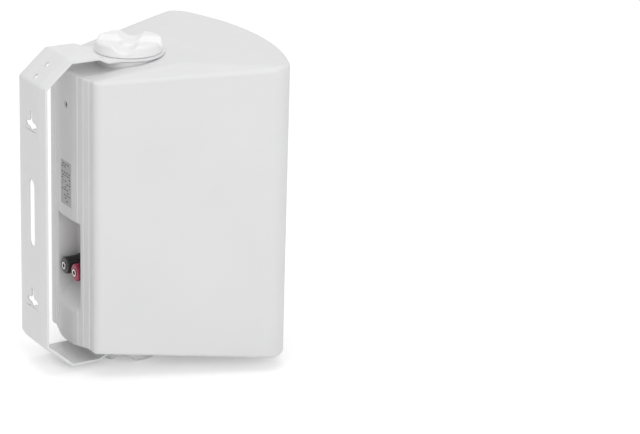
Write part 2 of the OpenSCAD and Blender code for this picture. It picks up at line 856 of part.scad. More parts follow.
// Cross-section at a station: the outer face from -X to +X, then the inner face back again
function band_section(station) = let (rise = station[2], m = strap_mid_w / 2) [
    for (c = [
        [-strap_half, rise], [-m, 0], [m, 0], [strap_half, rise],
        [strap_half, rise + sheet], [m, sheet], [-m, sheet], [-strap_half, rise + sheet]
    ]) [c[0], station[0][0] - c[1] * station[1][0], station[0][1] - c[1] * station[1][1]]
];

// Bent strap from one round end to the other
module band() {
    last = 8 * (len(stations) - 1);
    sides = [
        for (i = [0:8:last - 8]) for (j = [0:7])
            let (k = (j + 1) % 8) each [[i + j, i + 8 + k, i + k], [i + j, i + 8 + j, i + 8 + k]]
    ];
    caps = [[0, 1, 6, 7], [1, 2, 5, 6], [2, 3, 4, 5]];
    polyhedron(
        [for (station = stations) each band_section(station)],
        concat(sides, caps, [for (c = caps) [for (i = [3:-1:0]) c[i] + last]])
    );
}

// Round end of the bracket, with its neck
module end_plate() {
    fillet_x = strap_half + neck_r;
    fillet_y = sqrt(pow(disc_r + neck_r, 2) - fillet_x * fillet_x);
    touch = [fillet_x, fillet_y] * disc_r / (disc_r + neck_r);
    translate([0, 0, disc_in]) linear_extrude(sheet) difference() {
        union() {
            circle(r = disc_r, $fn = 128);
            translate([-strap_half, 0]) square([strap_w, rise_start]);
            translate([-touch[0], 0]) square([2 * touch[0], fillet_y]);
        }
        for (side = [-1, 1]) translate([side * fillet_x, fillet_y]) circle(r = neck_r, $fn = 96);
        circle(r = stud_r + run_fit);
    }
}

module keyhole(z) {
    translate([0, z]) {
        circle(r = key_r);
        translate([-key_slot_w / 2, 0]) square([key_slot_w, key_up - key_slot_w / 2]);
        translate([0, key_up - key_slot_w / 2]) circle(r = key_slot_w / 2);
        for (side = [-1, 1]) translate([side * (key_side - key_slot_w / 2), 0]) circle(r = key_slot_w / 2);
        square([2 * key_side - key_slot_w, key_slot_w], center = true);
    }
}

module strap_holes() {
    straight = slot_l / 2 - slot_w / 2;
    translate([0, reach, 0]) rotate([90, 0, 0]) linear_extrude(reach) union() {
        translate([-slot_w / 2, -straight]) square([slot_w, 2 * straight]);
        for (end = [-1, 1]) translate([0, end * straight]) circle(r = slot_w / 2);
        keyhole(strap_top - key_top);
        keyhole(key_low - strap_top);
    }
}

module diagonal_holes() {
    translate([0, bend_b[0], bend_b[1]]) rotate([-diag_angle, 0, 0])
        for (share = [0.19, 0.6]) translate([0, -share * diag_l, -4 * sheet])
            cylinder(r = diag_hole_r, h = 8 * sheet);
}

module bracket() {
    color([0.92, 0.92, 0.92]) place_at_pivot() difference() {
        union() {
            band();
            for (end = [0, 1]) mirror([0, 0, end]) end_plate();
        }
        for (end = [0, 1]) mirror([0, 0, end]) diagonal_holes();
        strap_holes();
    }
}

module knob() {
    translate([0, 0, knob_in]) rotate([0, 0, knob_turn]) difference() {
        union() {
            difference() {
                rotate_extrude($fn = 128) union() {
                    square([knob_r - knob_edge_r, knob_h]);
                    square([knob_r, knob_h - knob_edge_r]);
                    translate([knob_r - knob_edge_r, knob_h - knob_edge_r]) circle(r = knob_edge_r, $fn = 32);
                }
                for (a = [45, 135]) rotate([0, 0, a]) translate([0, 0, knob_h + groove_r - groove_depth])
                    rotate([90, 0, 0]) cylinder(r = groove_r, h = 3 * knob_r, center = true);
            }
            cylinder(r = hub_r, h = knob_h - groove_depth / 2);
        }
        translate([0, 0, -1]) cylinder(r = stud_r, h = 1 + knob_h / 3);
    }
}

module top_knob() {
    color([0.95, 0.95, 0.95]) place_at_pivot() knob();
}

module bottom_knob() {
    color([0.95, 0.95, 0.95]) place_at_pivot() at_bottom() knob();
}

module stud() {
    translate([0, 0, knob_in + knob_h / 3 - stud_l]) cylinder(r = stud_r, h = stud_l);
}

module top_stud() {
    color([0.75, 0.75, 0.78]) place_at_pivot() stud();
}

module bottom_stud() {
    color([0.75, 0.75, 0.78]) place_at_pivot() at_bottom() stud();
}

place() cabinet_shell();
place() front_baffle();
place() baffle_seal();
place() baffle_screws();
place() grille();
place() grille_cloth();
place() woofer_basket();
place() woofer_gasket();
place() woofer_surround();
place() woofer_cone();
place() dust_cap();
place() voice_coil();
place() woofer_spider();
place() woofer_top_plate();
place() woofer_magnet();
place() woofer_yoke();
place() woofer_screws();
place() tweeter_faceplate();
place() tweeter_dome();
place() tweeter_coil();
place() tweeter_magnet();
place() tweeter_screws();
place() crossover_board();
place() crossover_coil();
place() crossover_capacitors();
place() crossover_resistor();
place() board_screws();
place() rear_screw();
place() rear_label();
place() black_post_collar();
place() red_post_collar();
place() post_studs();
place() post_nuts();
place() black_post_cap();
place() red_post_cap();
place() damping_pads();
place() top_insert();
place() bottom_insert();
place() top_washer();
place() bottom_washer();
place() bracket();
place() top_knob();
place() bottom_knob();
place() top_stud();
place() bottom_stud();
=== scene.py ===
import json
import math

import bmesh
import bpy
import numpy as np
from mathutils import Matrix, Vector
from mathutils.geometry import delaunay_2d_cdt
from mathutils.kdtree import KDTree


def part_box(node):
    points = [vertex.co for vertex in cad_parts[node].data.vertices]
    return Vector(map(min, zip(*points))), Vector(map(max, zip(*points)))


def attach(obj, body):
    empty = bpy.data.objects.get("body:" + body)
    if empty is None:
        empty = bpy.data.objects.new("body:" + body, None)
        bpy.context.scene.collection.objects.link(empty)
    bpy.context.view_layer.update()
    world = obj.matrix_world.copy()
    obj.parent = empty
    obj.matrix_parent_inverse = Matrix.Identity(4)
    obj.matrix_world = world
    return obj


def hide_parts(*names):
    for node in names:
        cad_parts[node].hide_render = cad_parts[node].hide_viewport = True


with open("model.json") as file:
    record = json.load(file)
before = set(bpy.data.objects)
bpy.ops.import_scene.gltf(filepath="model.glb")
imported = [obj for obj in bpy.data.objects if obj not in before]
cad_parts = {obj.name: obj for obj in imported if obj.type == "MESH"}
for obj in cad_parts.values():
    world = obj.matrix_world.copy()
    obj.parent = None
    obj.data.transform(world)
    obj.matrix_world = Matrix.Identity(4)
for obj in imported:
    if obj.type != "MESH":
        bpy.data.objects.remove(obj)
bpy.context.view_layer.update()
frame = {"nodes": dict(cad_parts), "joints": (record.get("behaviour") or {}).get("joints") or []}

MM = 0.001
WELD = 0.004

# Cabinet
CAB_H, FRONT_W, REAR_W, CAB_DEPTH = 250, 200, 80, 149
BULGE, WALL = 26, 3.5
FRONT_R, REAR_R, FRONT_EDGE_R, EDGE_R = 18, 8, 6, 4.6
FRONT_ROLL, SIDE_ROLL, ROLL_STEPS = 3.2, 2.2, 8
CREASE_X, CREASE_Y, CREASE_TURN, CAP_FALL = 49, 73.5, math.radians(33), math.radians(8.5)
CREASE_SOFT, MIDDLE_SOFT = 0.5, 2
SEAT_DROP, SEAT_EDGE_R, SEAT_INSET, SEAT_STEPS, PIVOT_Y = 2.7, 0.6, 3, 72, 93
WALL_MARGIN, WALL_STEP, WALL_STEP_MIN = 14, 6, 0.25

# Rear ribs
RIB_X, RIB_PITCH, RIB_STEP, RIB_RUN, RIB_COUNT = 17, 7, 1.7, 22, 3
RIB_EDGE_R, RIB_SLOPE, RIB_TOP_R, RIB_FOOT_R, RIB_DRAFT = 1.5, 1.3, 0.6, 0.35, 0.2
RIB_START_DROP, RIB_END_DROP, RIB_END_RISE, RIB_SOFT, RUN_POINTS = 0.3, 1, 0.8, 0.25, 12
MIDDLE_COLUMNS = (13, 9.5, 6, 3, 0)

# Terminal recess
RECESS_W, RECESS_TOP, RECESS_LOW, RECESS_RAMP, RECESS_DEPTH = 40, 116, 40, 60, 20
RIM_R, RIM_RIB, RIM_CLEAR, FOOT_R, WALL_DRAFT = 0.8, 1, 0.3, 1.5, 0.4
RECESS_OVER, RAMP_OVER, UPPER_START, UPPER_RUN, RECESS_SOFT, MOUTH_SOFT = 2, 3, 4, 5, 4, 2
POST_Z, POST_PITCH, POST_CAP_R, POST_CAP_L, POST_STUD_R = 71, 19, 7.2, 14, 3
COLLAR_T, POST_GAP, POST_CLEAR, POST_END_R = 3, 0.3, 0.08, 1.2
FLUTES, FLUTE_DEPTH, FLUTE_STEPS = 16, 0.45, 10
SCREW_Z, SCREW_HOLE_R, SCREW_HOLE_DEPTH = 212, 2.6, 3.1

# Front
RIM, OPEN_R, LEDGE_Y, LEDGE_T, LEDGE_W, LIP_R = 14, 16, 11, 3, 8, 0.8
WINDOW_CLEAR = 2.5
GRILLE_FIT, GRILLE_T, GRILLE_BACK, GRILLE_SINK, GRILLE_SEAM = 0.3, 1.0, 5, 0.5, 0.02
GRILLE_PITCH, GRILLE_HOLE_R, GRILLE_HOLE_SIDES, GRILLE_MARGIN = 3.9, 1.3, 8, 5
HOLE_SHARE, BORDER_X, BORDER_STEP, BORDER_NEAR, BORDER_FAR = 0.86, 66, 6, 0.4, 4

# Bracket
SHEET, STRAP_W, STRAP_MID_W, STRAP_RISE, STRAP_OUT = 2, 47.5, 30, 1.6, 87
DIAG_Y, DIAG_Z, DISC_R, DISC_GAP, ARM_LIFT = 24, 21, 29, 1, 4
RISE_START, RISE_RUN, NECK_R, STUD_HOLE_R = 30, 7, 14, 4.08
DIAG_HOLE_R, DIAG_HOLE_SHARES = 2.5, (0.19, 0.6)
SLOT_L, SLOT_W = 57, 11
KEY_R, KEY_SLOT_W, KEY_UP, KEY_SIDE, KEY_TOP, KEY_LOW = 4.7, 4.5, 11.5, 10, 35.3, 34.2
BEND_R, JOGGLE_R, BEND_STEPS, FLANK_SOFT = 4.5, 4.5, 6, 1.5
CROSS_LINES, FLANK_LINES = 60, (13.2, 14.2, 15, 15.8, 16.8, 20)

# Knobs
KNOB_R, KNOB_H, KNOB_EDGE_R, GROOVE_R, GROOVE_DEPTH, HUB_R = 27.5, 9.5, 2.5, 11, 5, 7
KNOB_TURN, KNOB_GAP, KNOB_STEPS, KNOB_RINGS = math.radians(10), 0.3, 144, 30
GROOVE_SOFT, HUB_SOFT, HUB_DOME = 2.2, 0.8, 0.02
KNOB_SKIRT = ((0, 0.8), (0, 0.5), (0.15, 0.15), (0.5, 0), (3, 0))

OPEN_W, OPEN_H = FRONT_W - 2 * RIM, CAB_H - 2 * RIM
MID_Z = CAB_H / 2
REAR_Y = CAB_DEPTH - RIB_COUNT * RIB_STEP
SLOPE = (FRONT_W - REAR_W) / 2 / CAB_DEPTH
SIDE_ANGLE = math.atan(SLOPE)
ARC_R = ((FRONT_W / 2) ** 2 + BULGE**2) / (2 * BULGE)
ARC_Y = ARC_R - BULGE
SEAT_Z = CAB_H - SEAT_DROP
DISC_IN = MID_Z - SEAT_DROP + DISC_GAP
DISC_OUT = DISC_IN + SHEET
ARM_OUT = DISC_OUT + ARM_LIFT + STRAP_RISE
STRAP_TOP = ARM_OUT - DIAG_Z

swivel = next(j for j in frame["joints"] if j["name"] == "swivel")
AXIS_Y = swivel["pos_m"][1]
FOOT_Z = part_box("cabinet_shell")[0].z


def place(points):
    """Points in the cabinet's axes, in millimetres, as points of the frame in metres."""
    p = np.asarray(points, float).reshape(-1, 3)
    return np.column_stack([p[:, 0] * MM, AXIS_Y + (p[:, 1] - PIVOT_Y) * MM, FOOT_Z + p[:, 2] * MM])


def smooth_min(a, b, k):
    """The lower of two heights, blended where they differ by less than k."""
    h = np.clip(0.5 + 0.5 * (b - a) / k, 0, 1)
    return b + (a - b) * h - k * h * (1 - h)


def smooth_max(a, b, k):
    return -smooth_min(-np.asarray(a, float), -np.asarray(b, float), k)


def quarter(steps=ROLL_STEPS):
    """Angles from 0 to a right angle."""
    return np.linspace(0, math.pi / 2, steps + 1)


def full_turn(steps):
    """Angles once round a circle."""
    return np.linspace(0, 2 * math.pi, steps + 1)[:-1]


def rounding(r, steps=ROLL_STEPS):
    """Pairs of inset and drop along a rounded edge of radius r, from its wall to its top."""
    a = quarter(steps)
    return list(zip(r * (1 - np.cos(a)), r * (1 - np.sin(a))))


# Mesh building


class Skin:
    """Collects patches of one closed surface, and welds them into an object."""

    def __init__(self):
        self.points, self.faces = [], []

    def add(self, points, faces):
        start = len(self.points)
        self.points.extend(map(tuple, points))
        self.faces.extend(tuple(start + i for i in f) for f in faces)

    def grid(self, rows, closed=False):
        """Quads between neighbouring rows of points, which all have the same length."""
        rows = [np.asarray(r, float) for r in rows]
        n, m = len(rows), len(rows[0])
        points = np.vstack(rows)
        across = m if closed else m - 1
        faces = [
            (i * m + j, i * m + (j + 1) % m, (i + 1) * m + (j + 1) % m, (i + 1) * m + j)
            for i in range(n - 1)
            for j in range(across)
        ]
        self.add(points, faces)

    def disc(self, loop, centre):
        """A fan from a closed loop to its centre."""
        n = len(loop)
        self.add([*loop, centre], [(i, (i + 1) % n, n) for i in range(n)])

    def build(self, name, sharp=38):
        """The patches as one object, with hard edges where its faces turn by more than sharp degrees."""
        mesh = bpy.data.meshes.new(name)
        mesh.from_pydata(place(self.points).tolist(), [], self.faces)
        bm = bmesh.new()
        bm.from_mesh(mesh)
        bmesh.ops.remove_doubles(bm, verts=bm.verts, dist=WELD * MM)
        bmesh.ops.dissolve_degenerate(bm, edges=bm.edges, dist=WELD * MM / 2)
        bmesh.ops.recalc_face_normals(bm, faces=bm.faces)
        bm.to_mesh(mesh)
        bm.free()
        mesh.shade_smooth()
        mesh.set_sharp_from_angle(angle=math.radians(sharp))
        obj = bpy.data.objects.new(name, mesh)
        bpy.context.scene.collection.objects.link(obj)
        return obj


def inside(points, loops):
    """Whether each point lies inside an odd number of the closed loops."""
    p = np.asarray(points, float)
    odd = np.zeros(len(p), bool)
    for loop in loops:
        a = np.asarray(loop, float)
        b = np.roll(a, -1, axis=0)
        for (ax, ay), (bx, by) in zip(a, b):
            if ay != by:
                crosses = (ay > p[:, 1]) != (by > p[:, 1])
                x = ax + (p[:, 1] - ay) * (bx - ax) / (by - ay)
                odd ^= crosses & (p[:, 0] < x)
    return odd


def fill(loops, lines=(), keep=None):
    """Flat triangles between closed loops, cut along open guide lines. Returns points and faces."""
    coords, edges = [], []
    for ring, closed in [(r, True) for r in loops] + [(r, False) for r in lines]:
        start, n = len(coords), len(ring)
        coords.extend(Vector((float(p[0]), float(p[1]))) for p in ring)
        edges.extend((start + i, start + (i + 1) % n) for i in range(n if closed else n - 1))
    points, _, faces, *_ = delaunay_2d_cdt(coords, edges, [], 0, 1e-4)
    flat = np.array([(p.x, p.y) for p in points])
    centres = np.array([flat[list(f)].mean(0) for f in faces])
    chosen = inside(centres, loops) if keep is None else keep(centres)
    return flat, [tuple(f) for f, k in zip(faces, chosen) if k]


def rim_edges(faces):
    """Directed edges that only one face has."""
    directed = {(f[i], f[(i + 1) % len(f)]) for f in faces for i in range(len(f))}
    return [(a, b) for a, b in directed if (b, a) not in directed]


def add_sheet(skin, flat, faces, outer, inner):
    """A closed sheet: the flat faces mapped to its outer and inner surface, and its edges."""
    n = len(flat)
    points = np.vstack([outer(flat), inner(flat)])
    back = [tuple(n + i for i in reversed(f)) for f in faces]
    edges = [(b, a, n + a, n + b) for a, b in rim_edges(faces)]
    skin.add(points, [*faces, *back, *edges])


def modifier(obj, kind, name, **settings):
    m = obj.modifiers.new(name, kind)
    for key, value in settings.items():
        setattr(m, key, value)
    return m


def soften(obj, width, angle):
    """Rounds an object's hard edges and evens its shading."""
    modifier(
        obj, "BEVEL", "edges", width=width * MM, segments=2, limit_method="ANGLE",
        angle_limit=math.radians(angle), use_clamp_overlap=True, harden_normals=False,
    )
    modifier(obj, "WEIGHTED_NORMAL", "shading", keep_sharp=True)


# Cabinet form


def half_width(y):
    return FRONT_W / 2 - SLOPE * y


def corner_x(y, r):
    """Centre of a circle of radius r that touches the side wall at depth y."""
    return half_width(y) - r / math.cos(SIDE_ANGLE)


def front_corner():
    """Centre of the front corner's circle, which touches the side wall and the bowed front."""
    x0 = corner_x(0, FRONT_R)
    q = x0 * SLOPE + ARC_Y
    k = x0**2 + ARC_Y**2 - (ARC_R - FRONT_R) ** 2
    m = 1 + SLOPE**2
    y = (q - math.sqrt(q * q - m * k)) / m
    return np.array([corner_x(y, FRONT_R), y])


FRONT_CORNER = front_corner()
REAR_CORNER = np.array([corner_x(REAR_Y - REAR_R, REAR_R), REAR_Y - REAR_R])


def valley_height(x, y):
    """Height of the facet behind the crease's inner stretch, on the +X side."""
    behind = (CREASE_X - x) * math.sin(CREASE_TURN) + (y - CREASE_Y) * math.cos(CREASE_TURN)
    return CAB_H - math.tan(CAP_FALL) * behind


def side_facet():
    """Plane of the end cap's side facet, as slopes in x and y and a height, and the ends of its creases."""
    crease = np.array([CREASE_X, CREASE_Y])
    to_corner = FRONT_CORNER - crease
    reach = np.linalg.norm(to_corner)
    ring = FRONT_R - FRONT_EDGE_R
    angle = math.atan2(to_corner[1], to_corner[0]) + math.asin(ring / reach)
    touch = crease + math.sqrt(reach**2 - ring**2) * np.array([math.cos(angle), math.sin(angle)])
    rear = REAR_CORNER + (REAR_R - EDGE_R) * np.array([1, 1]) / math.sqrt(2)
    rows = [(*crease, 1), (*touch, 1), (*rear, 1)]
    return np.linalg.solve(rows, [CAB_H, CAB_H, valley_height(*rear)]), touch, rear


SIDE_FACET, FACET_TOUCH, FACET_REAR = side_facet()


def cap_height(x, y):
    """Height of the upper end cap, before its edges are rounded."""
    x = np.sqrt(np.asarray(x, float) ** 2 + MIDDLE_SOFT**2)
    side = SIDE_FACET[0] * x + SIDE_FACET[1] * y + SIDE_FACET[2]
    z = smooth_min(np.full_like(x, CAB_H), valley_height(x, y), CREASE_SOFT)
    return smooth_min(z, side, CREASE_SOFT)


def arc(centre, r, a0, a1, steps):
    """Points and outward normals along an arc, with angles in radians."""
    a = np.linspace(a0, a1, steps + 1)
    n = np.column_stack([np.cos(a), np.sin(a)])
    return np.asarray(centre) + r * n, n


def circle(x, y, r, steps):
    return arc((x, y), r, 0, 2 * math.pi, steps)[0][:-1]


def upright(loop, y):
    """A loop of x and z as points at depth y, which is one value or one for each point."""
    return np.column_stack([loop[:, 0], np.broadcast_to(y, len(loop)), loop[:, 1]])


def outline():
    """Plan of the walls from the rear's +X end round the front to its -X end: points, normals, edge radii."""
    front_angle = math.atan2(FRONT_CORNER[1] - ARC_Y, FRONT_CORNER[0])
    p1, n1 = arc(REAR_CORNER, REAR_R, math.pi / 2, SIDE_ANGLE, 9)
    p3, n3 = arc(FRONT_CORNER, FRONT_R, SIDE_ANGLE, front_angle, 16)
    p4, n4 = arc((0, ARC_Y), ARC_R, front_angle, -math.pi / 2, 16)
    share = np.linspace(0, 1, 11)[1:-1, None]
    p2 = p1[-1] * (1 - share) + p3[0] * share
    n2 = np.repeat(n1[-1:], len(p2), axis=0)
    points = np.vstack([p1, p2, p3, p4[1:]])
    normals = np.vstack([n1, n2, n3, n4[1:]])
    to_front = np.clip((CREASE_Y - points[:, 1]) / (CREASE_Y - FRONT_CORNER[1]), 0, 1)
    radii = SIDE_ROLL + (FRONT_ROLL - SIDE_ROLL) * to_front
    flip = np.array([-1, 1])
    return (
        np.vstack([points, points[-2::-1] * flip]),
        np.vstack([normals, normals[-2::-1] * flip]),
        np.concatenate([radii, radii[-2::-1]]),
    )


def wall_lines():
    """Heights of the walls' quads, close together where the recess's back wall bends."""
    bends = [(RECESS_LOW, -6, 5, 0.6), (RECESS_RAMP, -4, 4, 1), (RECESS_TOP, -6, 3, 0.3)]
    lines = [np.arange(WALL_MARGIN, CAB_H - WALL_MARGIN + 1, WALL_STEP)]
    lines += [np.arange(z + below, z + above, step) for z, below, above, step in bends]
    lines = np.unique(np.round(np.concatenate(lines), 3))
    return lines[np.insert(np.diff(lines) > WALL_STEP_MIN, 0, True)]


WALL_LINES = wall_lines()


def roll(x, y, nx, ny, r, top):
    """Rounded edge from a wall at x, y up to the cap: rows of x, y and z."""
    inset, drop = np.array(rounding(r)).T
    px, py = x - nx * inset, y - ny * inset
    return np.column_stack([px, py, top(px, py) - drop])


def mirrored(points):
    """The same points on the lower end cap, in the reverse order."""
    low = np.array(points, float)[::-1]
    low[:, 2] = CAB_H - low[:, 2]
    return low


def wall_column(point, normal, r):
    upper = roll(*point, *normal, r, cap_height)
    middle = [(*point, z) for z in WALL_LINES]
    return np.vstack([mirrored(upper), middle, upper])


# Rear with its ribs and the terminal recess


def recess_floor(z):
    """Depth of the recess's back wall, ramp and upper wall at a height."""
    back, rise = CAB_DEPTH - RECESS_DEPTH, RECESS_DEPTH + RECESS_OVER
    ramp = back + (RECESS_RAMP - z) * rise / (RECESS_RAMP - RECESS_LOW + RAMP_OVER)
    upper = back + (z - RECESS_TOP + UPPER_START) * rise / UPPER_RUN
    return smooth_max(smooth_max(back, ramp, RECESS_SOFT), upper, RECESS_SOFT)


def rib_line(edge, h, y):
    """Height of a rib's run over the end cap: its edge is at x = edge, and it stands h proud of the rear."""
    start_y = REAR_Y - RIB_RUN
    end_y = REAR_Y + h - RIB_EDGE_R
    z0 = valley_height(edge, start_y) - RIB_START_DROP
    z1 = valley_height(edge, REAR_Y) + RIB_END_RISE * h - RIB_END_DROP
    return z0 + (z1 - z0) * (y - start_y) / (end_y - start_y)


def rib_top(k, x):
    """Height over the rear of a rib's top, which rises from the rib's edge toward the middle."""
    inner = RIB_X + (RIB_COUNT - 2 - k) * RIB_PITCH
    return (k + 1) * RIB_STEP - RIB_SLOPE * min(1, max(0, (x - inner) / RIB_PITCH))


def rear_stations():
    """Columns across the rear from +X to the middle: x, height, rib edge, place in the recess's wall."""
    stations = [(REAR_CORNER[0], 0, 0, None), (REAR_CORNER[0] - 2.5, 0, 0, None)]
    edges = [RIB_X + (RIB_COUNT - 1 - k) * RIB_PITCH for k in range(RIB_COUNT)]
    for k, edge in enumerate(edges):
        for h, x in rounding(RIB_FOOT_R, 3):
            stations.append((edge + RIB_DRAFT + x, k * RIB_STEP + h, edge, None))
        for x, h in rounding(RIB_TOP_R, 4):
            stations.append((edge - x, rib_top(k, edge) - h, edge, None))
        if k < RIB_COUNT - 1:
            x = edge - RIB_PITCH / 2 + (RIM_CLEAR if k == RIM_RIB else 0)
            stations.append((x, rib_top(k, x), edge, None))
    for a in quarter(4):
        x = RECESS_W / 2 + RIM_R * (1 - math.sin(a))
        stations.append((x, rib_top(RIM_RIB, x), edges[RIM_RIB], ("rim", a)))
    for a in quarter(4):
        x = RECESS_W / 2 - WALL_DRAFT - FOOT_R * (1 - math.cos(a))
        stations.append((x, rib_top(RIM_RIB, x), edges[RIM_RIB], ("foot", a)))
    stations += [(x, rib_top(RIB_COUNT - 1, x), RIB_X, None) for x in MIDDLE_COLUMNS]
    return sorted(stations, key=lambda s: -s[0])


def rear_depth(x, h, recess_wall, z):
    """Depth of the rear's surface at a station and height."""
    out = REAR_Y + h
    if x > RECESS_W / 2 and recess_wall is None:
        return np.full_like(z, out)
    floor = smooth_min(out, recess_floor(z), MOUTH_SOFT)
    if recess_wall is None:
        return floor
    part, a = recess_wall
    depth = out - floor
    share = np.clip(depth / (RIM_R + FOOT_R), 0, 1)
    if part == "rim":
        return out - RIM_R * (1 - math.cos(a)) * share
    return out - depth + FOOT_R * (1 - math.sin(a)) * share


def rear_column(station, side):
    """One column of the rear, with its run over both end caps."""
    x, h, edge, recess_wall = station
    r = SIDE_ROLL + (RIB_EDGE_R - SIDE_ROLL) * min(1, h / RIB_STEP)

    def top(px, py):
        cap = cap_height(px, py)
        return smooth_max(cap, rib_line(edge, h, py), RIB_SOFT) if h > 0 else cap

    ahead = np.linspace(REAR_Y - RIB_RUN - 1, REAR_Y + h - r, RUN_POINTS + 1)[:-1]
    across = np.full_like(ahead, x)
    run = np.column_stack([across, ahead, top(across, ahead)])
    upper = np.vstack([roll(x, REAR_Y + h, 0, 1, r, top), run[::-1]])
    depth = rear_depth(x, h, recess_wall, WALL_LINES)
    middle = np.column_stack([np.full_like(WALL_LINES, x), depth, WALL_LINES])
    column = np.vstack([mirrored(upper), middle, upper])
    column[:, 0] *= side
    return column


def rounded_rect(w, h, r, steps=8):
    """Closed loop of a rounded rectangle round the cabinet's mid height, as x and z."""
    corners = [(1, 1, 0), (-1, 1, 90), (-1, -1, 180), (1, -1, 270)]
    loops = [
        arc((sx * (w / 2 - r), MID_Z + sz * (h / 2 - r)), r, math.radians(a), math.radians(a + 90), steps)[0]
        for sx, sz, a in corners
    ]
    straight = 6
    points = []
    for i, corner in enumerate(loops):
        after = loops[(i + 1) % 4][0]
        share = np.linspace(0, 1, straight + 1)[1:-1, None]
        points += [corner, corner[-1] * (1 - share) + after * share]
    return np.vstack(points)


def window(inset):
    """The front's opening, as a loop of x and z, moved inwards."""
    return rounded_rect(OPEN_W - 2 * inset, OPEN_H - 2 * inset, OPEN_R - inset)


def build_shell():
    skin = Skin()
    plan, normals, radii = outline()
    columns = [wall_column(p, n, r) for p, n, r in zip(plan, normals, radii)]
    around = np.concatenate([[0], np.cumsum(np.linalg.norm(np.diff(plan, axis=0), axis=1))])
    count = len(columns)
    last = max(i for i in range(count // 2) if plan[i][0] > OPEN_W / 2 + WINDOW_CLEAR)
    skin.grid(columns[: last + 1])
    skin.grid(columns[count - last - 1:])
    front = slice(last, count - last)
    add_front(skin, plan[front], around[front], columns[front])
    add_cavity(skin)
    half = rear_stations()
    rear = [rear_column(s, 1) for s in half] + [rear_column(s, -1) for s in half[-2::-1]]
    skin.grid(rear)
    cap_loop = [c[-1] for c in columns]
    cap_loop += list(rear[-1][-RUN_POINTS:])
    cap_loop += [c[-1] for c in rear[-2:0:-1]]
    cap_loop += list(rear[0][:-RUN_POINTS - 1:-1])
    add_caps(skin, np.array(cap_loop))
    return skin.build("shell")


def add_front(skin, plan, around, columns):
    """Front panel between two columns just outside the window, with the window's lip and ledge."""
    edge = ROLL_STEPS + 1
    skin.grid([c[:edge] for c in columns])
    skin.grid([c[-edge:] for c in columns])
    x_front, y_front = plan[:, 0], plan[:, 1]

    def skin_y(x):
        return np.interp(-np.asarray(x), -x_front, y_front)

    def unrolled(loop):
        return np.column_stack([np.interp(-loop[:, 0], -x_front, around), loop[:, 1]])

    levels = columns[0][edge - 1: -edge + 1, 2]
    low, high = levels[0], levels[-1]
    border = (
        [(around[0], z) for z in levels]
        + [(u, high) for u in around[1:-1]]
        + [(around[-1], z) for z in levels[::-1]]
        + [(u, low) for u in around[-2:0:-1]]
    )
    uprights = [[(u, low), (u, high)] for u in around[1:-1]]
    hole = window(-LIP_R)
    flat, faces = fill([border, unrolled(hole)], uprights)
    x_flat = np.interp(flat[:, 0], around, x_front)
    skin.add(np.column_stack([x_flat, skin_y(x_flat), flat[:, 1]]), faces)

    hole[:, 0] = np.interp(unrolled(hole)[:, 0], around, x_front)
    rings = [upright(hole, skin_y(hole[:, 0]))]
    for back, out in rounding(LIP_R, 3)[1:]:
        loop = window(-out)
        rings.append(upright(loop, skin_y(loop[:, 0]) + back))
    ledge = window(LEDGE_W)
    rings += [upright(window(0), LEDGE_Y), upright(ledge, LEDGE_Y), upright(ledge, LEDGE_Y + LEDGE_T)]
    skin.grid(rings, closed=True)


def crease_lines():
    """Guide lines close together along each crease of the end cap."""
    crease = np.array([CREASE_X, CREASE_Y])
    middle = np.array([0.02, CREASE_Y - CREASE_X * math.tan(CREASE_TURN)])
    half_bands = ((middle, 3.4), (FACET_TOUCH, 1.5), (FACET_REAR, 1.4))
    back, count = 3, 7
    lines = []
    for side in (1, -1):
        for end, half in half_bands:
            run = (end - crease) / np.linalg.norm(end - crease)
            across = np.array([-run[1], run[0]])
            for shift in np.linspace(-half, half, count):
                line = [crease - back * run + across * shift, end + across * shift]
                lines.append([(side * x, y) for x, y in line])
    return lines


def add_caps(skin, loop):
    """Both end caps, with the seats of the bracket."""
    border = loop[:, :2]
    pad_r = DISC_R - SEAT_INSET
    pad = circle(0, PIVOT_Y, pad_r, SEAT_STEPS)
    grid_x, grid_y = np.arange(-84, 85, 6), np.arange(-20, 140, 6)
    spots = [[(x, y), (x + 0.01, y)] for x in grid_x for y in grid_y]
    lines = crease_lines() + [s for s in spots if inside(s, [border]).all()]
    trimmed = [clip_line(line, border) for line in lines]
    flat, faces = fill([border, pad], [t for t in trimmed if t is not None])
    points = np.column_stack([flat, cap_height(flat[:, 0], flat[:, 1])])
    edge_z = {(round(x, 2), round(y, 2)): h for x, y, h in loop}
    for p in points:
        p[2] = edge_z.get((round(p[0], 2), round(p[1], 2)), p[2])
    rings = [np.column_stack([pad, cap_height(pad[:, 0], pad[:, 1])])]
    for inset, drop in rounding(SEAT_EDGE_R, 3):
        row = circle(0, PIVOT_Y, pad_r - inset, SEAT_STEPS)
        rings.append(np.column_stack([row, np.full(SEAT_STEPS, SEAT_Z - drop)]))
    for turn in (lambda p: np.asarray(p, float), lambda p: mirrored(p)[::-1]):
        skin.add(turn(points), faces)
        skin.grid([turn(r) for r in rings], closed=True)
        skin.disc(turn(rings[-1]), turn([(0, PIVOT_Y, SEAT_Z)])[0])


def clip_line(line, loop):
    """The stretch of a guide line that lies inside a loop, or None."""
    a, b = np.array(line[0], float), np.array(line[-1], float)
    share = np.linspace(0, 1, 400)
    at = a + (b - a) * share[:, None]
    kept = share[inside(at, [loop])]
    if not len(kept):
        return None
    return [tuple(a + (b - a) * kept[0]), tuple(a + (b - a) * kept[-1])]


